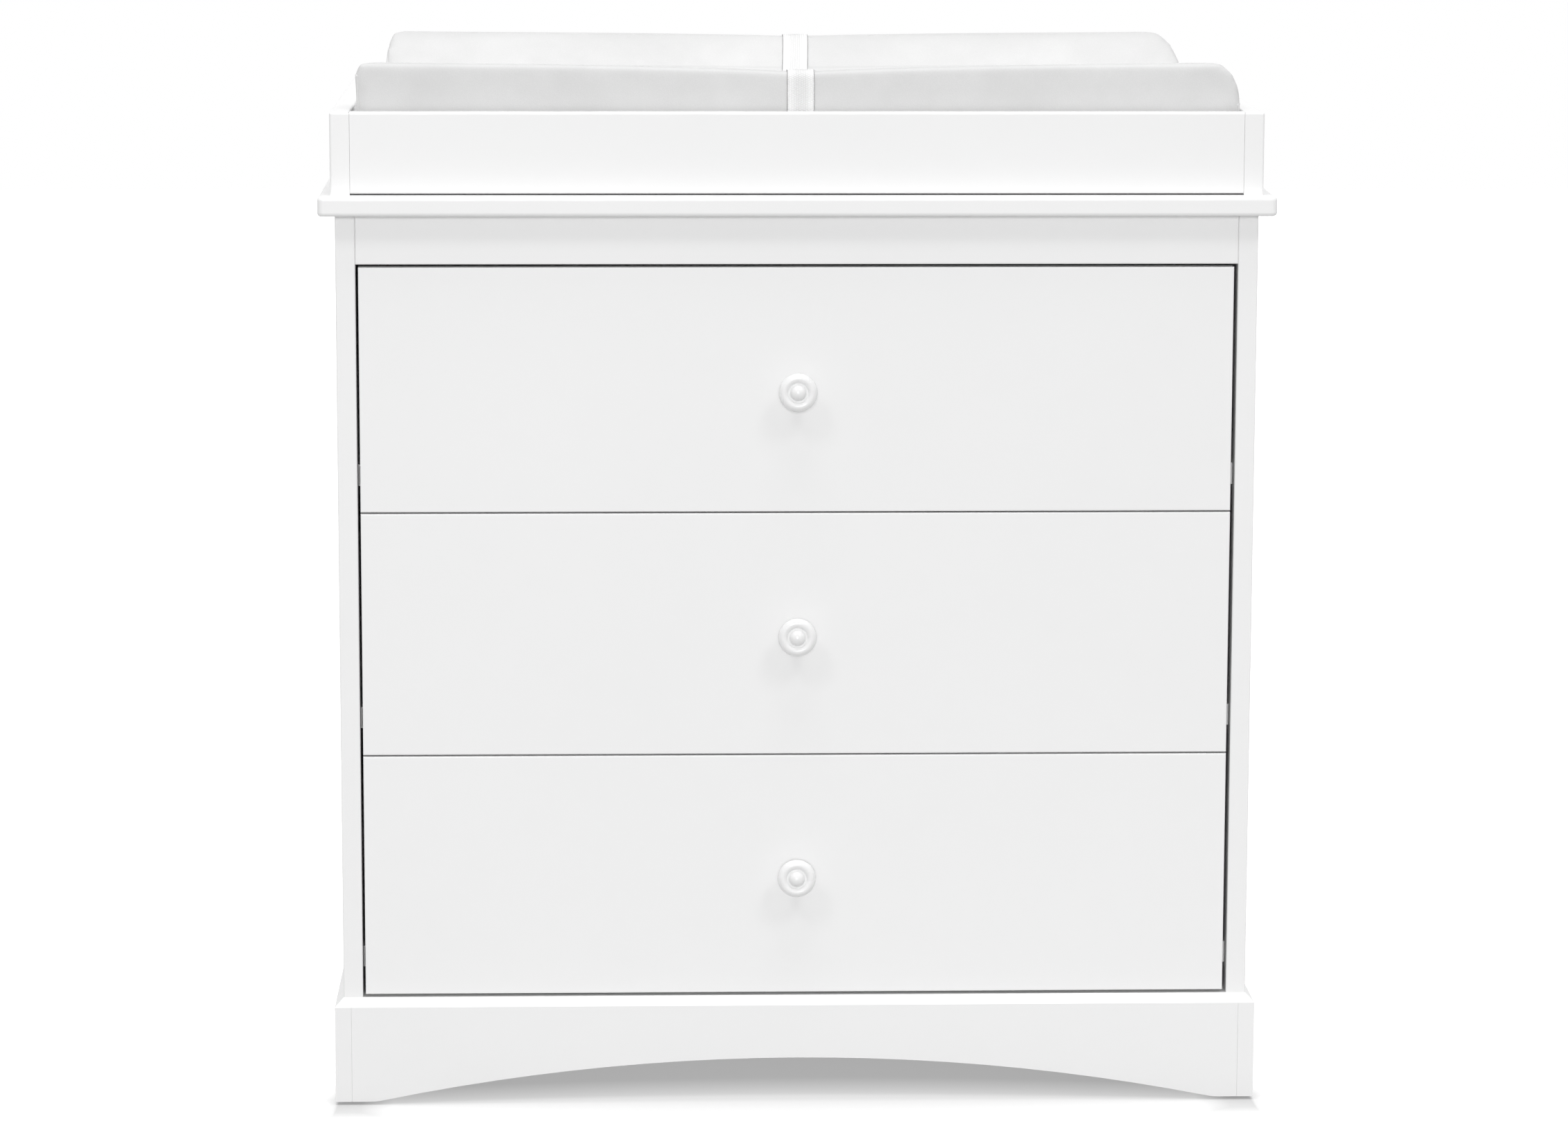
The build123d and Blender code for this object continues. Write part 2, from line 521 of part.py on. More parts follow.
def carcass_nodes(joints):
    """Side panels, rails, top, back, bottom and their fasteners."""
    nodes = {}
    nail_holes = [screw_hole(frame, NAIL_L, NAIL_R) for frame in nail_frames()]
    rebate_x = INNER_X + BACK_REBATE
    back_slot = block((-rebate_x, rebate_x), (BACK_Y - BACK_T, BACK_Y + 1), (BASE_TOP - 1, TOP_LOW + 1))
    for word, side in SIDES.items():
        panel = block((side * INNER_X, side * BODY_W / 2), (FACE_Y, BACK_Y), (BASE_TOP, TOP_LOW))
        panel = eased(panel, EDGE_R, Axis.Z)
        holes = [screw_hole(frame, BASE_SCREW_L) for frame in base_screw_frames(side)]
        for level in range(len(DRAWERS)):
            frames = cabinet_screw_frames(side, level)
            holes += [screw_hole(frame, RUNNER_T + SCREW_BITE) for frame in frames]
        nodes[f"{word}_side_panel"] = panel - [back_slot, *nail_holes, *holes, *cam_holes(joints, side)]
    inside = (-INNER_X, INNER_X)
    front_rail = block(inside, (FACE_Y, FACE_Y + RAIL_T), (OPENING_TOP, TOP_LOW))
    nodes["front_top_rail"] = front_eased(front_rail, EDGE_R) - cam_holes(joints, "front_top_rail")
    back_rail = block(inside, (BACK_RAIL_Y, BACK_RAIL_Y + RAIL_T), (BACK_RAIL_LOW, TOP_LOW))
    anchors = [rod(ANCHOR_R, -ANCHOR_L, 1, frame) for frame in anchor_frames()]
    nodes["back_top_rail"] = back_rail - [*cam_holes(joints, "back_top_rail"), *nail_holes, *anchors]
    panel_x = rebate_x - BOARD_FIT
    back = block((-panel_x, panel_x), (BACK_Y - BACK_T, BACK_Y), (BASE_TOP - BACK_LAP, TOP_LOW - BOARD_FIT))
    entries = [rod(ANCHOR_ENTRY_R, -1, BACK_T + 1, frame) for frame in anchor_frames()]
    nodes["back_panel"] = back - [*nail_holes, *entries]
    top = block((-TOP_X, TOP_X), (TOP_FRONT_Y, TOP_BACK_Y), (TOP_LOW, TOP_HIGH))
    top = eased(top, TOP_CORNER_R, Axis.Z)
    top = fillet(top.edges().group_by(Axis.Z)[0] + top.edges().group_by(Axis.Z)[-1], TOP_EDGE_R)
    bracket_holes = [screw_hole(frame, BRACKET_T + SCREW_BITE) for frame in bracket_screw_frames()]
    nodes["dresser_top"] = top - [*cam_holes(joints, "dresser_top"), *bracket_holes]
    nodes["cam_locks"] = [lock for _, (lock, _, _) in joints]
    nodes["cam_bolts"] = [bolt for _, (_, bolt, _) in joints]
    levels = range(len(DRAWERS))
    nodes["cabinet_runners"] = [cabinet_runner(side, level) for level in levels for side in SIDES.values()]
    nodes["runner_screws"] = [
        screw(frame, RUNNER_T + SCREW_BITE)
        for level in levels
        for side in SIDES.values()
        for frame in cabinet_screw_frames(side, level)
    ]
    nodes["back_panel_nails"] = [nail(frame) for frame in nail_frames()]
    return nodes


def glide(frame):
    """A nail-on floor glide under a base board."""
    return rod(GLIDE_R, -GLIDE_H, 0, frame) + rod(GLIDE_NAIL_R, -GLIDE_H / 2, GLIDE_NAIL_L, frame)


def base_nodes():
    """The base boards with the front arch, the bottom panel on its cleats, and the glides."""
    nodes = {}
    board_z = (GLIDE_H, BASE_TOP)
    inner_x = BASE_X - BASE_T
    inner_front = BASE_FRONT_Y + BASE_T
    back_y = (BACK_Y - BACK_T - BASE_T, BACK_Y - BACK_T)
    nail_holes = [screw_hole(frame, NAIL_L, NAIL_R) for frame in nail_frames()]
    front = block((-inner_x, inner_x), (BASE_FRONT_Y, inner_front), board_z)
    front = chamfer(front.edges().filter_by(Axis.Z).group_by(Axis.Y)[0], BASE_JOINT_EASE)
    front = chamfer(front.edges().group_by(Axis.Y)[0].group_by(Axis.Z)[-1], BASE_BEVEL)
    with BuildSketch(Plane.XZ) as arch:
        with BuildLine():
            ThreePointArc((-ARCH_X, GLIDE_H), (0, GLIDE_H + ARCH_RISE), (ARCH_X, GLIDE_H))
            Line((ARCH_X, GLIDE_H), (-ARCH_X, GLIDE_H))
        make_face()
    front -= extrude(arch.sketch, abs(BASE_FRONT_Y) + BASE_T, both=True)
    toes = [edge for edge in front.edges().filter_by(Axis.Y) if abs(abs(edge.center().X) - ARCH_X) < 1]
    nodes["base_front_board"] = fillet(toes, ARCH_FOOT_R)
    nodes["base_back_board"] = block((-inner_x, inner_x), back_y, board_z) - nail_holes
    floor = block((-inner_x, inner_x), (inner_front, back_y[0]), (BOTTOM_LOW, BASE_TOP))
    cleats = []
    glides = []
    screws = []
    for word, side in SIDES.items():
        board = block((side * inner_x, side * BASE_X), (BASE_FRONT_Y, BACK_Y), board_z)
        top_edges = board.edges().group_by(Axis.Z)[-1]
        outer = top_edges.sort_by(Axis.X)[-1 if side == RIGHT else 0]
        board = chamfer([outer, top_edges.sort_by(Axis.Y)[0]], BASE_BEVEL)
        ends = (BASE_FRONT_Y + GLIDE_INSET, BACK_Y - GLIDE_INSET)
        frames = [Plane(origin=(side * (BASE_X - BASE_T / 2), y, GLIDE_H), z_dir=(0, 0, 1)) for y in ends]
        board -= [rod(GLIDE_NAIL_R + HOLE_FIT, 0, GLIDE_NAIL_L + HOLE_FIT, frame) for frame in frames]
        nodes[f"base_{word}_board"] = board
        glides += [glide(frame) for frame in frames]
        strip_x = (side * (inner_x - CLEAT_W), side * inner_x)
        strip = block(strip_x, (inner_front, back_y[0]), (CLEAT_LOW, BOTTOM_LOW))
        holes = [screw_hole(frame, BASE_SCREW_L) for frame in base_screw_frames(side)]
        cleats.append(strip - holes)
        floor -= holes
        screws += [screw(frame, BASE_SCREW_L) for frame in base_screw_frames(side)]
    nodes["bottom_panel"] = floor
    nodes["base_cleats"] = cleats
    nodes["base_screws"] = screws
    nodes["floor_glides"] = glides
    return nodes


def bracket_screw_frames():
    """Frames of the screws of both tray brackets: one forwards into the tray, one down into the top."""
    frames = []
    for side in SIDES.values():
        x = side * BRACKET_X
        up = TOP_HIGH + BRACKET_H - BRACKET_SCREW_EDGE
        out = TRAY_BACK_Y + BRACKET_D - BRACKET_SCREW_EDGE
        frames.append(Plane(origin=(x, TRAY_BACK_Y + BRACKET_T, up), z_dir=(0, 1, 0)))
        frames.append(Plane(origin=(x, out, TOP_HIGH + BRACKET_T), z_dir=(0, 0, 1)))
    return frames


def tray_corner_frames():
    """Frames of the sunk screws that go through the tray's side rails into its front and back rails."""
    frames = []
    heights = (TOP_HIGH + TRAY_FOOT_GAP + TRAY_SCREW_INSET, TRAY_TOP - TRAY_SCREW_INSET)
    for side in SIDES.values():
        for y in (TRAY_FRONT_Y + TRAY_T / 2, TRAY_BACK_Y - TRAY_T / 2):
            for z in heights:
                frames.append(Plane(origin=(side * (TRAY_X - SCREW_HEAD_T), y, z), z_dir=(side, 0, 0)))
    return frames


def tray_nodes():
    """The four rails of the changing tray, its brackets and its screws."""
    nodes = {}
    corner_frames = tray_corner_frames()
    bracket_frames = bracket_screw_frames()
    corner_holes = [screw_hole(frame, TRAY_SCREW_L) for frame in corner_frames]
    sinks = [head_recess(frame) for frame in corner_frames]
    bracket_holes = [screw_hole(frame, BRACKET_T + SCREW_BITE) for frame in bracket_frames]
    for word, side in SIDES.items():
        rail = block((side * TRAY_IN_X, side * TRAY_X), (TRAY_FRONT_Y, TRAY_BACK_Y), (TOP_HIGH, TRAY_TOP))
        corners = rail.edges().filter_by(Axis.Z).sort_by(lambda edge: abs(edge.center().X))
        rail = fillet(corners[-2:] + rail.edges().group_by(Axis.Z)[-1], TRAY_EDGE_R)
        nodes[f"tray_{word}_rail"] = rail - [*corner_holes, *sinks]
    rail_x = TRAY_IN_X - TRAY_SEAM
    rail_z = (TOP_HIGH + TRAY_FOOT_GAP, TRAY_TOP)
    starts = {"front": TRAY_FRONT_Y, "back": TRAY_BACK_Y - TRAY_T}
    for word, y in starts.items():
        rail = eased(block((-rail_x, rail_x), (y, y + TRAY_T), rail_z), TRAY_EDGE_R, Axis.X)
        nodes[f"tray_{word}_rail"] = rail - [*corner_holes, *bracket_holes]
    brackets = []
    for side in SIDES.values():
        x_range = (side * BRACKET_X - BRACKET_W / 2, side * BRACKET_X + BRACKET_W / 2)
        upright = block(x_range, (TRAY_BACK_Y, TRAY_BACK_Y + BRACKET_T), (TOP_HIGH, TOP_HIGH + BRACKET_H))
        foot = block(x_range, (TRAY_BACK_Y, TRAY_BACK_Y + BRACKET_D), (TOP_HIGH, TOP_HIGH + BRACKET_T))
        brackets.append(upright + foot - bracket_holes)
    nodes["tray_brackets"] = brackets
    corner_screws = [screw(frame, TRAY_SCREW_L) for frame in corner_frames]
    nodes["tray_screws"] = corner_screws + [screw(frame, BRACKET_T + SCREW_BITE) for frame in bracket_frames]
    return nodes


def pad_section():
    """The pad's cross-section: two raised bolsters with a valley between them."""
    crest_y = PAD_HALF - PAD_CREST_IN
    valley_y = crest_y - PAD_SLOPE_W
    bend = ((crest_y + valley_y) / 2, (PAD_CREST + PAD_VALLEY) / 2)
    with BuildSketch() as section:
        with BuildLine():
            Polyline((0, 0), (PAD_HALF - PAD_LOW_R, 0))
            TangentArc((PAD_HALF - PAD_LOW_R, 0), (PAD_HALF, PAD_LOW_R), tangent=(1, 0))
            Line((PAD_HALF, PAD_LOW_R), (PAD_HALF, PAD_CREST - PAD_CREST_IN))
            TangentArc((PAD_HALF, PAD_CREST - PAD_CREST_IN), (crest_y, PAD_CREST), tangent=(0, 1))
            TangentArc((crest_y, PAD_CREST), bend, tangent=(-1, 0))
            TangentArc((valley_y, PAD_VALLEY), bend, tangent=(1, 0))
            Line((valley_y, PAD_VALLEY), (0, PAD_VALLEY))
            mirror(about=Plane.YZ)
        make_face()
    return section.sketch


def pad_side():
    """The pad's outline from the front: a square left end and a rounded fall at the right end."""
    with BuildSketch() as outline:
        with BuildLine():
            Polyline((PAD_X - PAD_RIGHT_W, PAD_CREST), (PAD_LEFT_R - PAD_X, PAD_CREST))
            TangentArc((PAD_LEFT_R - PAD_X, PAD_CREST), (-PAD_X, PAD_CREST - PAD_LEFT_R), tangent=(-1, 0))
            fall_z = PAD_CREST - PAD_RIGHT_H
            Polyline((-PAD_X, PAD_CREST - PAD_LEFT_R), (-PAD_X, 0), (PAD_X, 0), (PAD_X, fall_z))
            EllipticalCenterArc((PAD_X - PAD_RIGHT_W, fall_z), PAD_RIGHT_W, PAD_RIGHT_H, arc_size=90)
        make_face()
    return outline.sketch


def pad_nodes():
    """The pad, the two halves of its strap, and the closed buckle in its valley."""
    lengthwise = Plane(origin=(0, PAD_Y, PAD_LOW), x_dir=(0, 1, 0), z_dir=(1, 0, 0))
    from_front = Plane(origin=(0, PAD_Y, PAD_LOW), x_dir=(1, 0, 0), z_dir=(0, -1, 0))
    section = pad_section()
    pad = extrude(lengthwise * section, PAD_X, both=True)
    pad &= extrude(from_front * pad_side(), PAD_HALF, both=True)
    band = offset(section, SOFT_CLEAR + STRAP_T) - offset(section, SOFT_CLEAR)
    strap = Pos(STRAP_X, 0, 0) * extrude(lengthwise * band, STRAP_W / 2, both=True)
    foot = PAD_LOW + STRAP_FOOT
    crown = PAD_LOW + PAD_CREST + BUCKLE_H
    edge = PAD_HALF + BUCKLE_H
    valley = PAD_LOW + PAD_VALLEY + SOFT_CLEAR
    across = (STRAP_X - STRAP_W, STRAP_X + STRAP_W)
    socket_y = (PAD_Y - SOCKET_L / 2, PAD_Y + SOCKET_L / 2)
    tongue_y = (socket_y[0] - SOFT_CLEAR - TONGUE_L, socket_y[0] - SOFT_CLEAR)
    front_zone = block(across, (PAD_Y - edge, tongue_y[0] - SOFT_CLEAR), (foot, crown))
    back_zone = block(across, (socket_y[1] + SOFT_CLEAR, PAD_Y + edge), (foot, crown))
    socket, tongue = buckle(socket_y, tongue_y, valley)
    return {
        "changing_pad": pad,
        "front_strap": strap & front_zone,
        "back_strap": strap & back_zone,
        "buckle_socket": socket,
        "buckle_tongue": tongue,
    }


def buckle(socket_y, tongue_y, low):
    """A closed side-release buckle: the socket, and the tongue whose prongs lie in it."""
    half = BUCKLE_W / 2
    high = low + BUCKLE_H
    x_range = (STRAP_X - half, STRAP_X + half)
    slot_x = (STRAP_X - STRAP_W / 2 - SOFT_CLEAR, STRAP_X + STRAP_W / 2 + SOFT_CLEAR)
    hollow_x = half - BUCKLE_WALL
    hollow_z = (low + BUCKLE_WALL, high - BUCKLE_WALL)
    prong_z = (hollow_z[0] + PRONG_CLEAR, hollow_z[1] - PRONG_CLEAR)
    tip = tongue_y[1] + PRONG_L
    end = tip + PRONG_CLEAR
    through = (low - 1, high + 1)
    socket = eased(block(x_range, socket_y, (low, high)), BUCKLE_R, Axis.Z, Axis.X)
    socket -= block((STRAP_X - hollow_x, STRAP_X + hollow_x), (socket_y[0] - 1, end), hollow_z)
    socket -= block((STRAP_X - half - 1, STRAP_X + half + 1), (socket_y[0] + BUCKLE_H, end), hollow_z)
    socket -= block(slot_x, (socket_y[1] - BUCKLE_BAR - BUCKLE_SLOT, socket_y[1] - BUCKLE_BAR), through)
    tongue = eased(block(x_range, tongue_y, (low, high)), BUCKLE_R, Axis.Z, Axis.X)
    tongue -= block(slot_x, (tongue_y[0] + BUCKLE_BAR, tongue_y[0] + BUCKLE_BAR + BUCKLE_SLOT), through)
    prong_y = (tongue_y[1] - BUCKLE_WALL, tip)
    prong_out = hollow_x - PRONG_CLEAR
    for side in SIDES.values():
        prong_x = (STRAP_X + side * (prong_out - PRONG_W), STRAP_X + side * prong_out)
        tongue += block(prong_x, prong_y, prong_z)
    tongue += block((STRAP_X - PRONG_W / 2, STRAP_X + PRONG_W / 2), prong_y, prong_z)
    return socket, tongue


def all_nodes():
    """Every node of the changing table, by name: one solid, or a list of separate solids."""
    joints = cam_joints()
    nodes = {**carcass_nodes(joints), **base_nodes(), **tray_nodes(), **pad_nodes()}
    for level, name in enumerate(DRAWERS):
        nodes.update(drawer_nodes(name, level))
    return nodes


os.makedirs("parts", exist_ok=True)
for node, made in all_nodes().items():
    solids = made if isinstance(made, list) else [made]
    shape = Compound([solid for piece in solids for solid in piece.solids()])
    export_step(shape, f"parts/{node}.step")
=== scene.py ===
import json
import math

import bmesh
import bpy
import numpy as np
from mathutils import Matrix, Vector
from mathutils.bvhtree import BVHTree


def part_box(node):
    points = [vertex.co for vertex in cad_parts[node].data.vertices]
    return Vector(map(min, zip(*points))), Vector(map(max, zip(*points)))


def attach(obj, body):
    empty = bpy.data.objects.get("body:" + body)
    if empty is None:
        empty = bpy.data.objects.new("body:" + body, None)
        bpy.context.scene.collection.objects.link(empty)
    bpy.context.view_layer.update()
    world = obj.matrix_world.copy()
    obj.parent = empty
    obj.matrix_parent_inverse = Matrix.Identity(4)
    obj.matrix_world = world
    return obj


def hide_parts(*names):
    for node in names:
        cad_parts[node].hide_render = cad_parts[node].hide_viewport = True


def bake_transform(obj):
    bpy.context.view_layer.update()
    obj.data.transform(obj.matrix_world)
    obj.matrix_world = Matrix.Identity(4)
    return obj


# A white changing table: lacquered dresser and tray, soft contoured pad, woven strap, plain white studio.
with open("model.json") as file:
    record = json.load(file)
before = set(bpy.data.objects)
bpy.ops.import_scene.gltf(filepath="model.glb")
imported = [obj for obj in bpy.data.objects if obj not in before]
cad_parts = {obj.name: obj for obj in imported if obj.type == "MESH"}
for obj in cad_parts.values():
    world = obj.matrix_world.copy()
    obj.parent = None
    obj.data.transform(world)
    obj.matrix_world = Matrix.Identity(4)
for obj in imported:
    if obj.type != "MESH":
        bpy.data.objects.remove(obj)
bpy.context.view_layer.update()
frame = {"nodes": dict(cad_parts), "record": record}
SCENE = bpy.context.scene

# Camera, as the photograph was taken: metres and degrees
IMAGE_W = 2268
FOCAL_PX = 7403.9
SENSOR = 36.0
CAMERA_AT = (-0.1686, -4.8653, 1.2791)
CAMERA_YAW = 1.936
CAMERA_PITCH = 9.416
CAMERA_ROLL = 0.152

# Studio
AMBIENT = 0.48
LAMPS = {  # strength, then width, turn to the right and lift in degrees
    "key_left": (0.345, 13.0, -40.0, 50.0),
    "key_right": (0.405, 13.0, 40.0, 50.0),
    "overhead": (1.36, 35.0, 0.0, 88.0),
    "fill": (1.084, 12.0, -2.1, 10.3),
}
FLOOR_TONE = 0.4
FLOOR_HALF = 9.0
# The floor's own light, seen only by the camera, is set by place: it paints the contact shadow's fall-off
# under the arch, at the feet, and in front of and beside the base, over the shadow the lamps cast, and lifts
# the floor to white further out
SHADOW_LIFT = 0.12  # the floor's own light at the front of the base
SHADOW_FRONT = 0.09  # how far the shadow reaches in front of the base
SHADOW_EDGE = (-0.006, 0.008)  # where it ends beside the base
SHADOW_REST = 0.5  # the floor's own light in its faint rest there
SHADOW_SIDE = 0.035  # how far that rest reaches to the side
SHADOW_BACK = (-0.12, -0.02)  # where that rest ends behind the base's front, and where it is full
SHADOW_FAR = (-0.8, -0.5)  # where the whole shadow ends behind the base's front, and where it fades
ARCH_LIFT = (0.37, 0.60)  # the floor's own light under the arch: far in, and at the front
ARCH_DEPTH = (-0.088, -0.02)
ARCH_BOW = 0.24  # how much nearer to the front that light starts towards the feet
FOOT_SHADE = 0.24  # how much less of it there is at the feet
FOOT_REACH = (0.375, 0.405)  # from the middle, where that starts and is full

# Pad
PAD_CREST_IN = 0.008
PAD_EDGE_R = 0.002
PAD_SLOPE_W = 0.112
PAD_LOW_R = 0.012
PAD_LOW_COUNT = 3  # points on that rounding
PAD_LEFT_R = 0.010
PAD_LEFT_ROWS = (0.0, 0.12, 0.4)  # rows of points in the left end's rounding, as shares of it
PAD_RIGHT_W = 0.025
PAD_RIGHT_H = 0.036
PAD_RIGHT_ROWS = (0.3, 0.1, 0.03, 0.0)
PAD_START_INSET = 0.001
PAD_STEP = 0.009
PAD_VOXEL = 0.004
PAD_PRESSURE = 4.0
PAD_SLACK = -0.012
PAD_FRAMES = 20
PAD_CAP = 0.001
PAD_VALLEY_CAP = 0.003
PAD_SOFTEN = 0.35
PAD_CLEAR = 0.0004
PINCH_FRONT = 0.009
PINCH_BACK = 0.0045
PINCH_REACH = 0.17
CREST_RISE = 0.004
BACK_RISE = 0.0033
FRONT_TAPER_LEFT = 0.004
BACK_TAPER_LEFT = 0.0187
BACK_TAPER_RIGHT = 0.017
TAPER_RUN = 0.035  # from the tray's upper edge down, where the taper ends
PIPING_R = 0.0014
PIPING_OUT = -0.0004
PIPING_LOW = 0.006
PIPING_ROUNDS = 3

# Strap
STRAP_W = 0.025
STRAP_T = 0.0016
STRAP_STEP = 0.0015
STRAP_LIFT = 0.0004
STRAP_SKEW = 0.009  # to the right at the back
STRAP_PROBES = (-0.5, -0.25, 0.0, 0.25, 0.5)  # where it meets the pad, in widths from its middle
PROBE_REACH = 0.03
STRAP_END = 0.012  # how far from the buckle it leaves the pad
BUCKLE_RAMP = (0.006, -0.0035)  # its way in, outwards and up from the buckle's end and top
BUCKLE_BAR = (-0.0013, 0.0002)
BUCKLE_TURN = (-0.0041, -0.0008)
BUCKLE_SLOT = (-0.0041, -0.004)
SECTION_COUNT = 16  # steps across it
SELVEDGE_IN = 0.78  # in half widths
SELVEDGE_RUN = 0.12
SELVEDGE_RISE = 0.18  # of its half thickness
EDGE_RUN = 0.06
UNDER_SHARE = 0.9
SEAM_L = 0.022
SEAM_HALF = 0.34 * STRAP_W
FRONT_SEAM = 0.045  # where it starts, back from the buckle's end
BACK_SEAM = 0.022
STITCH_L = 0.0026
STITCH_PITCH = 1.35 * STITCH_L
STITCH_R = 0.00035
STITCH_HIGH = 1.2 * STITCH_R
WEAVE_CORD = 0.0021
WEAVE_PICK = 0.0016


# Node helpers

def finish(name, roughness, metallic=0.0):
    """A new node material: it, its tree and its Principled shader."""
    material = bpy.data.materials.new(name)
    material.use_nodes = True
    tree = material.node_tree
    shader = tree.nodes["Principled BSDF"]
    shader.inputs["Roughness"].default_value = roughness
    shader.inputs["Metallic"].default_value = metallic
    return material, tree, shader


def coords(tree, scale=(1, 1, 1), source="Object"):
    """The surface's own coordinates in metres, stretched along the axes."""
    place = tree.nodes.new("ShaderNodeTexCoord")
    mapping = tree.nodes.new("ShaderNodeMapping")
    mapping.inputs["Scale"].default_value = scale
    tree.links.new(place.outputs[source], mapping.inputs["Vector"])
    return mapping.outputs["Vector"]


def noise(tree, vector, scale, detail=2.0, distortion=0.0):
    """Cloudy noise with that many cells to the metre."""
    node = tree.nodes.new("ShaderNodeTexNoise")
    node.inputs["Scale"].default_value = scale
    node.inputs["Detail"].default_value = detail
    node.inputs["Distortion"].default_value = distortion
    tree.links.new(vector, node.inputs["Vector"])
    return node.outputs["Fac"]


def cells(tree, vector, scale, feature="F1"):
    """Distances in a cell pattern with that many cells to the metre."""
    node = tree.nodes.new("ShaderNodeTexVoronoi")
    node.feature = feature
    node.inputs["Scale"].default_value = scale
    tree.links.new(vector, node.inputs["Vector"])
    return node.outputs["Distance"]


def maths(tree, operation, first, second=None):
    """One step of arithmetic on sockets or numbers."""
    node = tree.nodes.new("ShaderNodeMath")
    node.operation = operation
    for socket, value in zip(node.inputs, (first, second)):
        if isinstance(value, (int, float)):
            socket.default_value = value
        elif value is not None:
            tree.links.new(value, socket)
    return node.outputs["Value"]


def remap(tree, value, low, high, start=0.3, end=0.7):
    """Values from start to end, as values from low to high."""
    node = tree.nodes.new("ShaderNodeMapRange")
    node.inputs["From Min"].default_value = start
    node.inputs["From Max"].default_value = end
    node.inputs["To Min"].default_value = low
    node.inputs["To Max"].default_value = high
    tree.links.new(value, node.inputs["Value"])
    return node.outputs["Result"]


def tint(tree, value, low, high, start=0.3, end=0.7):
    """Values from start to end, as colours from low to high."""
    node = tree.nodes.new("ShaderNodeValToRGB")
    node.color_ramp.elements[0].position = start
    node.color_ramp.elements[1].position = end
    node.color_ramp.elements[0].color = (*low, 1)
    node.color_ramp.elements[1].color = (*high, 1)
    tree.links.new(value, node.inputs["Fac"])
    return node.outputs["Color"]


def multiply(tree, first, second):
    """Two colours multiplied."""
    node = tree.nodes.new("ShaderNodeMix")
    node.data_type = "RGBA"
    node.blend_type = "MULTIPLY"
    node.inputs["Factor"].default_value = 1.0
    tree.links.new(first, node.inputs["A"])
    tree.links.new(second, node.inputs["B"])
    return node.outputs["Result"]


def emboss(tree, shader, *layers):
    """Bumps on the shader, from (height, distance, strength) layers, coarsest first."""
    normal = None
    for height, distance, strength in layers:
        node = tree.nodes.new("ShaderNodeBump")
        node.inputs["Distance"].default_value = distance
        node.inputs["Strength"].default_value = strength
        tree.links.new(height, node.inputs["Height"])
        if normal is not None:
            tree.links.new(normal, node.inputs["Normal"])
        normal = node.outputs["Normal"]
    tree.links.new(normal, shader.inputs["Normal"])


def grey(level):
    """A colour without a hue."""
    return (level, level, level)


# Materials, one function each

def lacquer(name, tone, roughness, peel):
    """Sprayed white lacquer with a faint orange peel, and boards that differ by a hair."""
    material, tree, shader = finish(name, roughness)
    here = coords(tree)
    cloud = tint(tree, noise(tree, here, 3.0, 4.0), grey(tone * 0.985), grey(tone))
    board = tree.nodes.new("ShaderNodeObjectInfo")
    shade = tint(tree, board.outputs["Random"], grey(0.99), grey(1.0), 0.0, 1.0)
    tree.links.new(multiply(tree, cloud, shade), shader.inputs["Base Color"])
    gloss = remap(tree, noise(tree, here, 45.0, 3.0), roughness - 0.05, roughness + 0.05)
    tree.links.new(gloss, shader.inputs["Roughness"])
    emboss(tree, shader, (noise(tree, here, 14.0), 0.0006, 0.10), (noise(tree, here, 330.0), 0.00012, peel))
    return material


def foil(name, tone, grain, roughness):
    """Printed paper foil on board, with fine pores along the grain."""
    material, tree, shader = finish(name, roughness)
    here = coords(tree, grain)
    pores = noise(tree, here, 24.0, 6.0, 0.4)
    tree.links.new(tint(tree, pores, tuple(0.93 * c for c in tone), tone), shader.inputs["Base Color"])
    tree.links.new(remap(tree, pores, roughness + 0.1, roughness - 0.05), shader.inputs["Roughness"])
    emboss(tree, shader, (pores, 0.00015, 0.35), (noise(tree, coords(tree), 700.0), 0.00005, 0.2))
    return material


def fibreboard(name, dark, light, roughness):
    """Pressed hardboard: matted fibres, dark flecks and a waxy surface."""
    material, tree, shader = finish(name, roughness)
    here = coords(tree)
    mat = noise(tree, here, 160.0, 8.0, 1.6)
    flecks = tint(tree, cells(tree, here, 420.0), grey(0.72), grey(1.0), 0.05, 0.28)
    clouds = tint(tree, noise(tree, here, 5.0, 3.0), grey(0.92), grey(1.0))
    body = tint(tree, mat, dark, light, 0.25, 0.75)
    tree.links.new(multiply(tree, multiply(tree, body, flecks), clouds), shader.inputs["Base Color"])
    tree.links.new(remap(tree, mat, roughness - 0.1, roughness + 0.12), shader.inputs["Roughness"])
    emboss(tree, shader, (mat, 0.0002, 0.4))
    return material


def softwood(name):
    """Planed pine with growth rings along Y."""
    material, tree, shader = finish(name, 0.6)
    here = coords(tree, (1, 0.06, 1))
    rings = tree.nodes.new("ShaderNodeTexWave")
    rings.wave_type = "RINGS"
    rings.rings_direction = "Y"
    rings.inputs["Scale"].default_value = 55.0
    rings.inputs["Distortion"].default_value = 5.0
    rings.inputs["Detail"].default_value = 3.0
    tree.links.new(here, rings.inputs["Vector"])
    grain = tint(tree, rings.outputs["Fac"], (0.62, 0.42, 0.23), (0.76, 0.58, 0.37), 0.1, 0.9)
    pores = tint(tree, noise(tree, here, 420.0, 4.0), grey(0.86), grey(1.0))
    tree.links.new(multiply(tree, grain, pores), shader.inputs["Base Color"])
    emboss(tree, shader, (rings.outputs["Fac"], 0.0002, 0.3), (noise(tree, here, 500.0), 0.0001, 0.3))
    return material


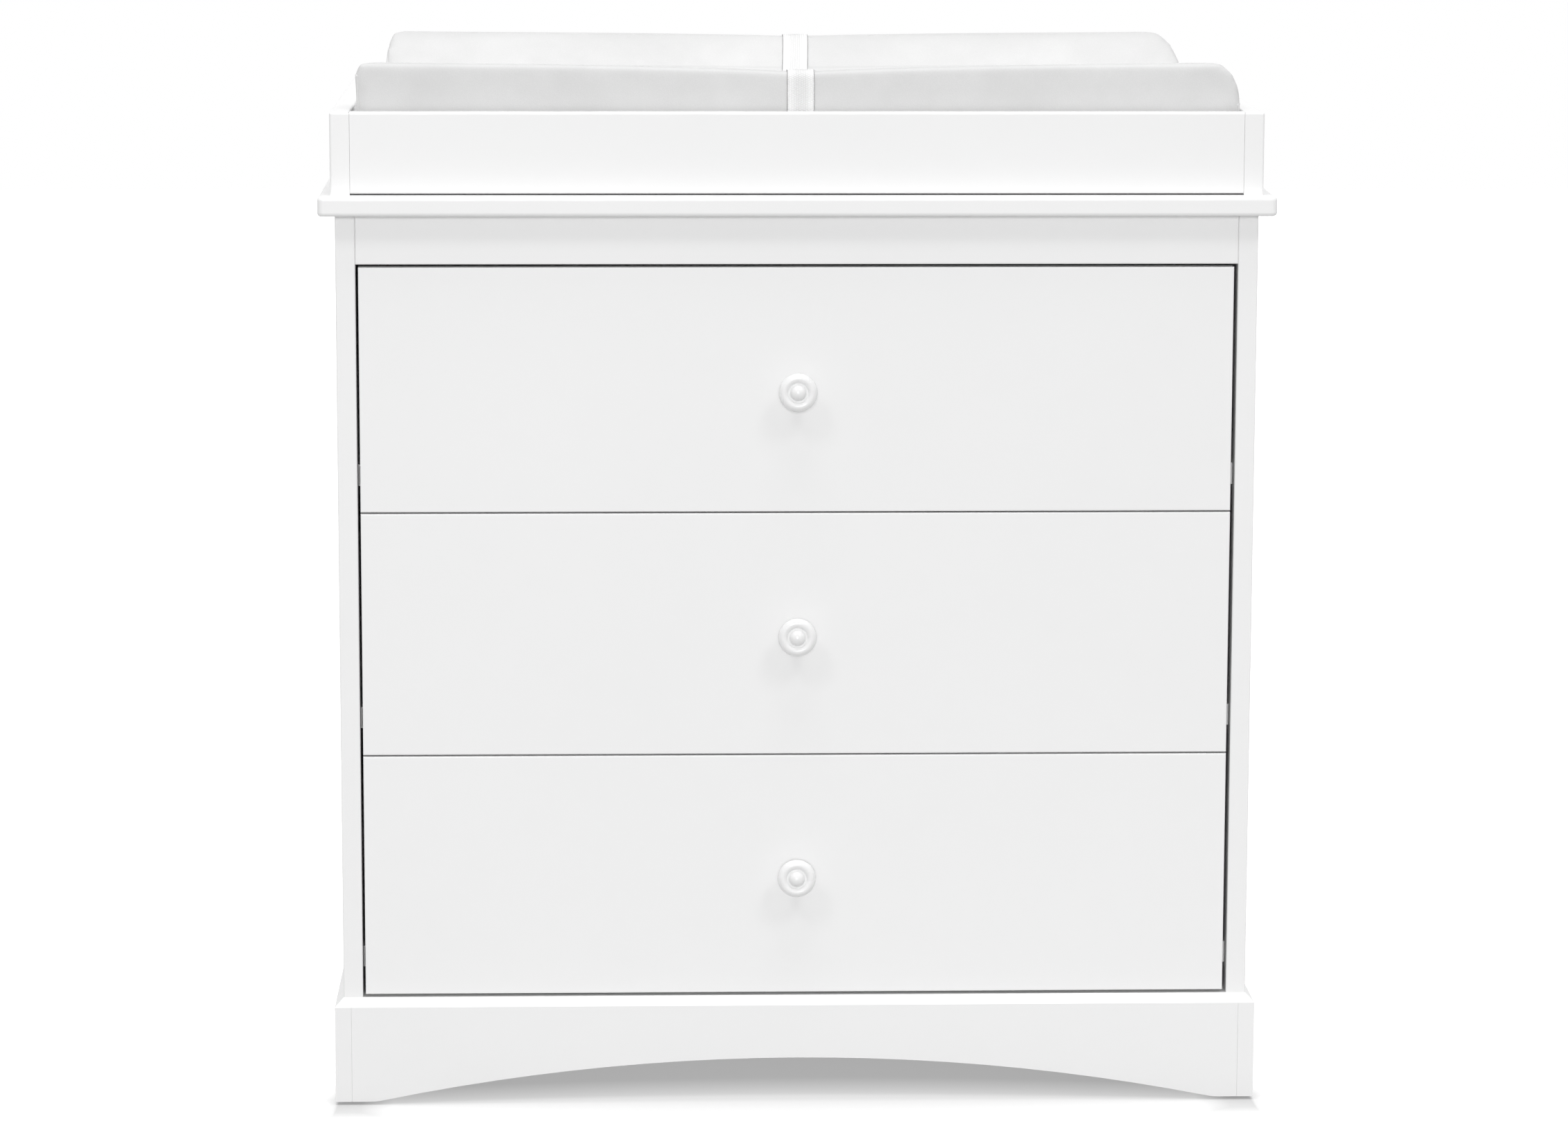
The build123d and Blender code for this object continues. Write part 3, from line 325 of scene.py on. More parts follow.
def metal(name, tone, roughness, grain):
    """Plated or cast metal, clouded and finely scratched."""
    material, tree, shader = finish(name, roughness, metallic=1.0)
    here = coords(tree)
    stain = noise(tree, here, 120.0, 5.0)
    tree.links.new(tint(tree, stain, tuple(0.86 * c for c in tone), tone), shader.inputs["Base Color"])
    tree.links.new(remap(tree, stain, roughness + 0.12, roughness - 0.06), shader.inputs["Roughness"])
    emboss(tree, shader, (noise(tree, coords(tree, grain), 900.0, 3.0), 0.00006, 0.4))
    return material


def enamel(name, tone):
    """Powder-coated sheet steel, with its fine pebbling."""
    material, tree, shader = finish(name, 0.38)
    here = coords(tree)
    cloud = noise(tree, here, 30.0, 3.0)
    tree.links.new(tint(tree, cloud, grey(tone * 0.97), grey(tone)), shader.inputs["Base Color"])
    tree.links.new(remap(tree, cloud, 0.32, 0.46), shader.inputs["Roughness"])
    emboss(tree, shader, (noise(tree, here, 1100.0, 1.0), 0.00008, 0.35))
    return material


def moulded(name, tone, roughness, grain):
    """Moulded plastic with a fine spark-eroded texture."""
    material, tree, shader = finish(name, roughness)
    here = coords(tree)
    flow = noise(tree, here, 60.0, 4.0)
    tree.links.new(tint(tree, flow, tuple(0.96 * c for c in tone), tone), shader.inputs["Base Color"])
    tree.links.new(remap(tree, flow, roughness - 0.06, roughness + 0.08), shader.inputs["Roughness"])
    shader.inputs["Subsurface Weight"].default_value = 0.08
    shader.inputs["Subsurface Radius"].default_value = (0.002, 0.002, 0.002)
    emboss(tree, shader, (noise(tree, here, grain, 1.0), 0.00004, 0.4))
    return material


def cover_cloth(name, tone):
    """The pad's wipeable cover: a fine grain, soft creases and a low sheen."""
    material, tree, shader = finish(name, 0.62)
    here = coords(tree)
    clouds = tint(tree, noise(tree, here, 13.0, 4.0), grey(tone * 0.94), grey(tone * 1.01))
    pits = cells(tree, here, 950.0, "SMOOTH_F1")
    specks = tint(tree, pits, grey(0.965), grey(1.0), 0.1, 0.7)
    tree.links.new(multiply(tree, clouds, specks), shader.inputs["Base Color"])
    tree.links.new(remap(tree, noise(tree, here, 60.0, 3.0), 0.55, 0.70), shader.inputs["Roughness"])
    shader.inputs["Sheen Weight"].default_value = 0.12
    shader.inputs["Sheen Roughness"].default_value = 0.5
    creases = noise(tree, coords(tree, (1.0, 1.0, 0.55)), 34.0, 3.0, 0.5)
    emboss(tree, shader, (creases, 0.0012, 0.22), (pits, 0.00018, 0.45))
    return material


def webbing_weave(name, tone):
    """Woven strap: cords that run along it, picks across it, painted shade in the weave's hollows, and a
    painted highlight that leaves its edges lighter than its middle.
    """
    material, tree, shader = finish(name, 0.58)
    place = tree.nodes.new("ShaderNodeSeparateXYZ")
    tree.links.new(coords(tree, source="UV"), place.inputs["Vector"])
    across = maths(tree, "MULTIPLY", place.outputs["X"], math.pi / WEAVE_CORD)
    along = maths(tree, "MULTIPLY", place.outputs["Y"], math.tau / WEAVE_PICK)
    cord = maths(tree, "SINE", across)
    pick = maths(tree, "MULTIPLY", maths(tree, "SINE", along), maths(tree, "SIGN", cord))
    crown = maths(tree, "POWER", maths(tree, "ABSOLUTE", cord), 0.6)
    height = maths(tree, "MULTIPLY", crown, maths(tree, "ADD", maths(tree, "MULTIPLY", pick, 0.35), 0.65))
    off_middle = maths(tree, "ABSOLUTE", place.outputs["X"])
    # Painted highlight: the middle of the strap is coloured darker than its edges, as if light caught the
    # edges
    painted_edge_light = tint(tree, off_middle, grey(tone * 0.88), grey(tone), STRAP_W * 0.27, STRAP_W * 0.33)
    # Painted shade: the weave's low places are coloured darker
    shade = tint(tree, height, grey(0.88), grey(1.0), 0.0, 0.7)
    tree.links.new(multiply(tree, painted_edge_light, shade), shader.inputs["Base Color"])
    shader.inputs["Sheen Weight"].default_value = 0.2
    emboss(tree, shader, (height, 0.0005, 0.7))
    return material


def thread(name, tone):
    """Sewing thread, with its twist."""
    material, tree, shader = finish(name, 0.5)
    twist = noise(tree, coords(tree), 1500.0, 2.0)
    tree.links.new(tint(tree, twist, grey(tone * 0.85), grey(tone)), shader.inputs["Base Color"])
    shader.inputs["Sheen Weight"].default_value = 0.2
    emboss(tree, shader, (twist, 0.0001, 0.5))
    return material


WHITE = 0.855
FINISHES = {
    "white_paint": lacquer("white_paint", WHITE, 0.36, 0.22),
    "white_foil": foil("white_foil", grey(0.82), (6, 60, 60), 0.5),
    "drawer_foil": foil("drawer_foil", grey(0.83), (60, 4, 60), 0.5),
    "drawer_hardboard": fibreboard("drawer_hardboard", grey(0.78), grey(0.83), 0.55),
    "hardboard": fibreboard("hardboard", (0.23, 0.13, 0.065), (0.38, 0.23, 0.125), 0.55),
    "pine": softwood("pine"),
    "knob_paint": lacquer("knob_paint", WHITE, 0.26, 0.10),
    "runner_enamel": enamel("runner_enamel", 0.80),
    "zinc": metal("zinc", (0.62, 0.62, 0.61), 0.42, (1, 1, 1)),
    "plated_steel": metal("plated_steel", (0.72, 0.71, 0.68), 0.28, (1, 1, 0.1)),
    "nylon": moulded("nylon", grey(0.80), 0.45, 900.0),
    "glide_plastic": moulded("glide_plastic", (0.58, 0.57, 0.55), 0.5, 900.0),
    "pad_cover": cover_cloth("pad_cover", 0.675),
    "webbing": webbing_weave("webbing", 0.91),
    "buckle_plastic": moulded("buckle_plastic", grey(0.84), 0.38, 1200.0),
}
THREAD = thread("thread", 0.86)
for part in frame["record"]["subparts"]:
    node = frame["nodes"][part["node"]]
    node.data.materials.clear()
    node.data.materials.append(FINISHES[part["material_slot"]])


# Pad

PAD_BOX_LOW, PAD_BOX_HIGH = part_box("changing_pad")
PAD_X = PAD_BOX_HIGH.x
PAD_Y = (PAD_BOX_LOW.y + PAD_BOX_HIGH.y) / 2
PAD_HALF = (PAD_BOX_HIGH.y - PAD_BOX_LOW.y) / 2
PAD_LOW = PAD_BOX_LOW.z
PAD_CREST = PAD_BOX_HIGH.z - PAD_LOW
PAD_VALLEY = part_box("buckle_socket")[0].z - PAD_LOW
STRAP_X = (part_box("front_strap")[0].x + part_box("front_strap")[1].x) / 2
TRAY_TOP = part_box("tray_front_rail")[1].z
TRAY_IN_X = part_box("tray_right_rail")[0].x
TRAY_IN_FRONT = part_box("tray_front_rail")[1].y
TRAY_IN_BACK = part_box("tray_back_rail")[0].y


def arc(centre, radius, start, end, count):
    """Points on an arc from start to end degrees, the first one left out."""
    turns = [math.radians(start + (end - start) * (i + 1) / count) for i in range(count)]
    return [(centre[0] + radius * math.cos(t), centre[1] + radius * math.sin(t)) for t in turns]


def line(start, end, step):
    """Points along a line, the first one left out."""
    count = max(1, round(math.dist(start, end) / step))
    return [tuple(a + (b - a) * (i + 1) / count for a, b in zip(start, end)) for i in range(count)]


def slope(start, end, count):
    """Points along an S-shaped slope, the first one left out."""
    shares = [(i + 1) / count for i in range(count)]
    run, rise = end[0] - start[0], end[1] - start[1]
    return [(start[0] + run * t, start[1] + rise * t * t * (3 - 2 * t)) for t in shares]


def half_section(inset, step):
    """The pad's section from the middle of the valley out and down to its low edge, as (y, height)."""
    half, crest, valley = PAD_HALF - inset, PAD_CREST - inset, PAD_VALLEY - inset
    crest_y = half - PAD_CREST_IN
    valley_y = crest_y - PAD_SLOPE_W
    points = [(0.0, valley)]
    points += line((0.0, valley), (valley_y, valley), step)
    points += slope((valley_y, valley), (crest_y, crest), round(PAD_SLOPE_W / step) + 2)
    points += line((crest_y, crest), (half - PAD_EDGE_R, crest), step)
    count = max(4, round(PAD_EDGE_R * 1.5 / step))
    points += arc((half - PAD_EDGE_R, crest - PAD_EDGE_R), PAD_EDGE_R, 90, 0, count)
    points += line((half, crest - PAD_EDGE_R), (half, PAD_LOW_R), step)
    return points


def whole_section(inset, step):
    """The closed section, from the front low edge over the top to the back and underneath."""
    side = half_section(inset, step)
    over = [(-y, z) for y, z in reversed(side[1:])] + side
    corner_y = PAD_HALF - inset - PAD_LOW_R
    under = arc((corner_y, PAD_LOW_R), PAD_LOW_R, 0, -90, PAD_LOW_COUNT)
    under += line((corner_y, 0.0), (-corner_y, 0.0), step)
    under += arc((-corner_y, PAD_LOW_R), PAD_LOW_R, 270, 180, PAD_LOW_COUNT)[:-1]
    return over + under


def end_height(x, inset):
    """How high the pad may reach at x: a small round at the left end and a long fall at the right."""
    length, crest = PAD_X - inset, PAD_CREST - inset
    left = max(0.0, PAD_LEFT_R - (x + length)) / PAD_LEFT_R
    right = max(0.0, PAD_RIGHT_W - (length - x)) / PAD_RIGHT_W
    fall = PAD_LEFT_R * (1 - math.sqrt(max(0.0, 1 - left * left)))
    return crest - fall - PAD_RIGHT_H * (1 - math.sqrt(max(0.0, 1 - right * right)))


def new_piece(name, mesh, *materials):
    """A mesh as an object of the scene, smooth, with its materials."""
    piece = bpy.data.objects.new(name, mesh)
    SCENE.collection.objects.link(piece)
    for material in materials:
        mesh.materials.append(material)
    mesh.polygons.foreach_set("use_smooth", [True] * len(mesh.polygons))
    return piece


def apply_modifiers(piece):
    """Bakes a piece's modifiers into its mesh."""
    graph = bpy.context.evaluated_depsgraph_get()
    mesh = bpy.data.meshes.new_from_object(piece.evaluated_get(graph))
    piece.modifiers.clear()
    piece.data = mesh


def pad_start():
    """The pad before it swells: its section run along X, a little small on all sides."""
    ring = whole_section(PAD_START_INSET, PAD_STEP)
    length = PAD_X - PAD_START_INSET
    left = [-length + PAD_LEFT_R * t for t in PAD_LEFT_ROWS]
    right = [length - PAD_RIGHT_W * t for t in PAD_RIGHT_ROWS]
    middle = [x for (x,) in line((left[-1],), (right[0],), PAD_STEP)]
    build = bmesh.new()
    rows = []
    for x in left + middle + right[1:]:
        high = end_height(x, PAD_START_INSET)
        rows.append([build.verts.new((x, PAD_Y + y, PAD_LOW + min(z, high))) for y, z in ring])
    for row, following in zip(rows, rows[1:]):
        for i in range(len(ring)):
            build.faces.new((row[i - 1], row[i], following[i], following[i - 1]))
    build.faces.new(rows[0])
    build.faces.new(reversed(rows[-1]))
    bmesh.ops.recalc_face_normals(build, faces=build.faces)
    mesh = bpy.data.meshes.new("pad_start")
    build.to_mesh(mesh)
    build.free()
    return mesh


def vertices(mesh):
    """A mesh's points as rows of x, y and z."""
    places = np.zeros(len(mesh.vertices) * 3)
    mesh.vertices.foreach_get("co", places)
    return places.reshape(-1, 3)


def set_vertices(mesh, places):
    """Moves a mesh's points to those rows."""
    mesh.vertices.foreach_set("co", places.ravel())
    mesh.update()


def swell(piece):
    """Fills the pad by cloth under pressure, with a limit on how far a point moves."""
    before = vertices(piece.data)
    cloth = piece.modifiers.new("cloth", "CLOTH")
    cloth.settings.quality = 4
    cloth.settings.use_pressure = True
    cloth.settings.uniform_pressure_force = PAD_PRESSURE
    cloth.settings.shrink_min = PAD_SLACK
    cloth.settings.effector_weights.gravity = 0.0
    cloth.collision_settings.use_collision = False
    for step in range(1, PAD_FRAMES + 1):
        SCENE.frame_set(step)
    apply_modifiers(piece)
    SCENE.frame_set(1)
    move = vertices(piece.data) - before
    far = np.linalg.norm(move, axis=1)
    inside = np.abs(before[:, 1] - PAD_Y) < PAD_HALF - PAD_CREST_IN - PAD_SLOPE_W / 2
    cap = np.where(inside, PAD_VALLEY_CAP, PAD_CAP)
    share = np.minimum(1.0, cap / np.maximum(far, 1e-9))
    set_vertices(piece.data, before + move * share[:, None])


def smooth_step(value):
    """From none to all over a value from nought to one, with soft ends."""
    value = np.clip(value, 0.0, 1.0)
    return value * value * (3 - 2 * value)


def behind(y):
    """None of the back bolster in the middle of the pad, all of it at the back."""
    return smooth_step((y - PAD_Y) / (PAD_HALF - PAD_CREST_IN))


def strap_x(y):
    """Where the middle of the strap lies, from its front half to its back half."""
    return STRAP_X + STRAP_SKEW * behind(y)


def sag(x, y, z):
    """How much higher the bolsters lie than drawn: fuller at the back, and pressed down by the strap."""
    upper = smooth_step((z - PAD_LOW - PAD_VALLEY) / (PAD_CREST - PAD_VALLEY))
    pinch = PINCH_FRONT + (PINCH_BACK - PINCH_FRONT) * behind(y)
    pressed = pinch * np.exp(-np.abs(x - strap_x(y)) / PINCH_REACH)
    return (CREST_RISE + BACK_RISE * behind(y) - pressed) * upper


def dress(piece):
    """The pad's sagging bolsters, its narrower back, and a flat seat inside the tray."""
    places = vertices(piece.data)
    x, y, z = places.T.copy()
    z += sag(x, y, z)
    left = FRONT_TAPER_LEFT + (BACK_TAPER_LEFT - FRONT_TAPER_LEFT) * behind(y)
    taper = np.where(x < 0, left, BACK_TAPER_RIGHT * behind(y)) / PAD_X
    x *= 1 - taper * smooth_step((z - TRAY_TOP + TAPER_RUN) / TAPER_RUN)
    walled = z < TRAY_TOP + PAD_CLEAR
    x = np.where(walled, np.clip(x, PAD_CLEAR - TRAY_IN_X, TRAY_IN_X - PAD_CLEAR), x)
    y = np.where(walled, np.clip(y, TRAY_IN_FRONT + PAD_CLEAR, TRAY_IN_BACK - PAD_CLEAR), y)
    set_vertices(piece.data, np.stack([x, y, np.maximum(z, PAD_LOW)], axis=1))


def changing_pad():
    """The pad, filled and dressed."""
    pad = new_piece("changing_pad_cover", pad_start(), FINISHES["pad_cover"])
    remesh = pad.modifiers.new("remesh", "REMESH")
    remesh.mode = "VOXEL"
    remesh.voxel_size = PAD_VOXEL
    apply_modifiers(pad)
    swell(pad)
    soften = pad.modifiers.new("soften", "SMOOTH")
    soften.factor = PAD_SOFTEN
    soften.iterations = 1
    apply_modifiers(pad)
    dress(pad)
    finer = pad.modifiers.new("finer", "SUBSURF")
    finer.levels = finer.render_levels = 1
    apply_modifiers(pad)
    pad.data.materials.clear()
    pad.data.materials.append(FINISHES["pad_cover"])
    pad.data.polygons.foreach_set("use_smooth", [True] * len(pad.data.polygons))
    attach(pad, "pad")
    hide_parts("changing_pad")
    return pad


def surface_of(piece):
    """A piece's surface, to be met by rays."""
    mesh = piece.data
    return BVHTree.FromPolygons([v.co for v in mesh.vertices], [p.vertices for p in mesh.polygons])


def smoothed(points, rounds):
    """Points evened out that many times, with both ends kept."""
    for _ in range(rounds):
        inner = [(a + 2 * b + c) / 4 for a, b, c in zip(points, points[1:], points[2:])]
        points = [points[0]] + inner + [points[-1]]
    return points


def tube(name, path, radius, material, sides=8):
    """A round tube along open points, with closed ends."""
    build = bmesh.new()
    rows = []
    for i, point in enumerate(path):
        ahead = (path[min(i + 1, len(path) - 1)] - path[max(i - 1, 0)]).normalized()
        out = ahead.cross(Vector((1, 0, 0))).normalized()
        up = out.cross(ahead)
        turns = [math.tau * k / sides for k in range(sides)]
        rows.append([build.verts.new(point + radius * (math.cos(t) * out + math.sin(t) * up)) for t in turns])
    for row, following in zip(rows, rows[1:]):
        for k in range(sides):
            build.faces.new((row[k - 1], row[k], following[k], following[k - 1]))
    build.faces.new(rows[0])
    build.faces.new(reversed(rows[-1]))
    bmesh.ops.recalc_face_normals(build, faces=build.faces)
    mesh = bpy.data.meshes.new(name)
    build.to_mesh(mesh)
    build.free()
    return new_piece(name, mesh, material)


def end_piping(word, x, surface):
    """The piped seam round one end of the pad, from the front edge over the top to the back edge."""
    side = half_section(0.0, PAD_STEP / 2)
    profile = [(-y, z) for y, z in reversed(side[1:])] + side
    high = end_height(x, 0.0)
    path = []
    for y, z in profile:
        if z < PIPING_LOW:
            continue
        aim = Vector((x, PAD_Y + y, PAD_LOW + min(z, high)))
        seat, normal, _, _ = surface.find_nearest(aim)
        path.append(seat + normal * PIPING_OUT)
    piping = tube(f"pad_{word}_piping", smoothed(path, PIPING_ROUNDS), PIPING_R, FINISHES["pad_cover"])
    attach(piping, "pad")


# Strap and stitching

def strap_route(surface, outline):
    """Points of a strap on the pad, along an outline of (y, height)."""
    route = []
    for i, (y, z) in enumerate(outline):
        before, after = outline[max(i - 1, 0)], outline[min(i + 1, len(outline) - 1)]
        ahead = Vector((0, after[0] - before[0], after[1] - before[1])).normalized()
        out = Vector((0, -ahead.z, ahead.y))
        middle = float(strap_x(PAD_Y + y))
        heights = []
        for across in STRAP_PROBES:
            start = Vector((middle + across * STRAP_W, PAD_Y + y, PAD_LOW + z)) + out * PROBE_REACH
            hit = surface.ray_cast(start, -out, 2 * PROBE_REACH)[0]
            if hit is not None:
                heights.append((hit - start).dot(out) + PROBE_REACH)
        highest = max(heights, default=0.0)
        route.append(Vector((middle, PAD_Y + y, PAD_LOW + z)) + out * (highest + STRAP_LIFT))
    return route


def even_route(points, step, rounds):
    """Points smoothed that many times and moved to even steps along their line."""
    points = smoothed(points, rounds)
    lengths = np.concatenate([[0.0], np.cumsum([(b - a).length for a, b in zip(points, points[1:])])])
    count = max(2, round(lengths[-1] / step))
    wanted = np.linspace(0.0, lengths[-1], count + 1)
    columns = [np.interp(wanted, lengths, [p[k] for p in points]) for k in range(3)]
    return [Vector(p) for p in zip(*columns)]


def lie_on(surface, points):
    """A strap's points, lifted wherever its width would cut into the pad."""
    lifted = []
    for point in points:
        most = Vector()
        for across in STRAP_PROBES:
            spot = point + Vector((across * STRAP_W, 0, 0))
            seat, normal, _, _ = surface.find_nearest(spot)
            short = STRAP_LIFT - (spot - seat).dot(normal)
            if short > most.length:
                most = short * Vector((0, normal.y, normal.z))
        lifted.append(point + most)
    return lifted


def strap_section():
    """The webbing's closed section, as (across, up): thicker selvedges, rounded edges."""
    half, middle = STRAP_W / 2, STRAP_T / 2
    top = []
    for i in range(SECTION_COUNT + 1):
        share = 2 * i / SECTION_COUNT - 1
        bead = SELVEDGE_RISE * smooth_step((abs(share) - SELVEDGE_IN) / SELVEDGE_RUN)
        past = max(0.0, (abs(share) - 1 + EDGE_RUN) / EDGE_RUN)
        edge = math.sqrt(max(0.0, 1 - past * past))
        top.append((share * half, middle + middle * edge * (1 - SELVEDGE_RISE + bead)))
    under = [(across, middle - (up - middle) * UNDER_SHARE) for across, up in reversed(top[1:-1])]
    return top + under


def webbing(name, points):
    """A strap of webbing along its route, with UVs in metres for its weave."""
    section = strap_section()
    build = bmesh.new()
    uv = build.loops.layers.uv.new("UVMap")
    rows = []
    along = [0.0]
    for a, b in zip(points, points[1:]):
        along.append(along[-1] + (b - a).length)
    for i, point in enumerate(points):
        ahead = (points[min(i + 1, len(points) - 1)] - points[max(i - 1, 0)]).normalized()
        out = Vector((1, 0, 0)).cross(ahead).normalized()
        rows.append([build.verts.new(point + Vector((across, 0, 0)) + out * up) for across, up in section])
    for i in range(len(rows) - 1):
        for k in range(len(section)):
            face = build.faces.new((rows[i][k - 1], rows[i][k], rows[i + 1][k], rows[i + 1][k - 1]))
            marks = ((k - 1, i), (k, i), (k, i + 1), (k - 1, i + 1))
            for loop, (column, row) in zip(face.loops, marks):
                loop[uv].uv = (section[column][0], along[row])
    build.faces.new(rows[0])
    build.faces.new(reversed(rows[-1]))
    bmesh.ops.recalc_face_normals(build, faces=build.faces)
    mesh = bpy.data.meshes.new(name)
    build.to_mesh(mesh)
    build.free()
    return new_piece(name, mesh, FINISHES["webbing"], THREAD)


def add_stitches(piece, points, start, length):
    """A sewn box with a cross on a strap, from a distance along its route."""
    corners = [(-SEAM_HALF, 0.0), (SEAM_HALF, 0.0), (SEAM_HALF, length), (-SEAM_HALF, length)]
    seams = list(zip(corners, corners[1:] + corners[:1]))
    seams += [(corners[0], corners[2]), (corners[1], corners[3])]
    build = bmesh.new()
    build.from_mesh(piece.data)
    for (a0, l0), (a1, l1) in seams:
        run = math.dist((a0, l0), (a1, l1))
        count = max(2, round(run / STITCH_PITCH))
        for i in range(count):
            share = (i + 0.5) / count
            across, away = a0 + (a1 - a0) * share, l0 + (l1 - l0) * share
            index = min(len(points) - 2, max(1, round((start + away) / STRAP_STEP)))
            ahead = (points[index + 1] - points[index - 1]).normalized()
            out = Vector((1, 0, 0)).cross(ahead).normalized()
            heading = ((a1 - a0) * Vector((1, 0, 0)) + (l1 - l0) * ahead).normalized()
            turn = Matrix((heading, out.cross(heading), out)).transposed().to_4x4()
            place = Matrix.Translation(points[index] + Vector((across, 0, 0)) + out * STRAP_T)
            shape = Matrix.Diagonal((STITCH_L / 2, STITCH_R, STITCH_HIGH, 1.0))
            pose = place @ turn @ shape
            made = bmesh.ops.create_uvsphere(build, u_segments=6, v_segments=4, radius=1.0, matrix=pose)
            for vertex in made["verts"]:
                for face in vertex.link_faces:
                    face.material_index = 1
                    face.smooth = True
    build.to_mesh(piece.data)
    build.free()


def straps(surface):
    """Both halves of the strap, each from its sewn foot on the pad to its half of the buckle."""
    side = half_section(0.0, STRAP_STEP)
    tongue_low, tongue_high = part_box("buckle_tongue")
    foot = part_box("front_strap")[0].z - PAD_LOW
    ends = {"front": (-1, tongue_low.y), "back": (1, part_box("buckle_socket")[1].y)}
    made = {}
    for word, (facing, buckle_y) in ends.items():
        clear = abs(buckle_y - PAD_Y) + STRAP_END
        outline = [(facing * y, z) for y, z in reversed(side) if z > foot and abs(y) > clear]
        outline = [(y, z + float(sag(strap_x(PAD_Y + y), PAD_Y + y, PAD_LOW + z))) for y, z in outline]
        # Laid from front to back, then led from its foot to the buckle
        outline = outline[::-facing]
        route = lie_on(surface, even_route(strap_route(surface, outline), STRAP_STEP, 4))
        steps = (BUCKLE_RAMP, BUCKLE_BAR, BUCKLE_TURN, BUCKLE_SLOT)
        stops = [Vector((STRAP_X, buckle_y + facing * out, tongue_high.z + up)) for out, up in steps]
        points = even_route(route[::-facing] + stops[:2], STRAP_STEP, 3)
        points += even_route(stops[1:], STRAP_STEP, 6)[1:]
        made[word] = points[::-facing]
    return made


def make_straps(surface):
    """The strap's halves as webbing, sewn at the buckle, the front one with its slack."""
    for word, points in straps(surface).items():
        piece = webbing(f"{word}_strap_webbing", points)
        total = (len(points) - 1) * STRAP_STEP
        seam = total - FRONT_SEAM if word == "front" else BACK_SEAM
        add_stitches(piece, points, seam, SEAM_L)
        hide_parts(f"{word}_strap")
        if word == "front":
            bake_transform(piece)
        else:
            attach(piece, "pad")


PAD = changing_pad()
PAD_SURFACE = surface_of(PAD)
end_piping("left", -PAD_X, PAD_SURFACE)
end_piping("right", PAD_X, PAD_SURFACE)
make_straps(PAD_SURFACE)


# Studio and camera

def seen_rays(tree):
    """One for rays from the camera, and for those that gloss or glass sends on; else zero."""
    path = tree.nodes.new("ShaderNodeLightPath")
    seen = maths(tree, "MAXIMUM", path.outputs["Is Camera Ray"], path.outputs["Is Glossy Ray"])
    return maths(tree, "MAXIMUM", seen, path.outputs["Is Transmission Ray"])


def studio_world():
    """Even soft light, seen as plain white."""
    world = bpy.data.worlds.new("studio")
    SCENE.world = world
    world.use_nodes = True
    tree = world.node_tree
    background = tree.nodes["Background"]
    background.inputs["Color"].default_value = (1, 1, 1, 1)
    strength = remap(tree, seen_rays(tree), AMBIENT, 1.0, 0.0, 1.0)
    tree.links.new(strength, background.inputs["Strength"])


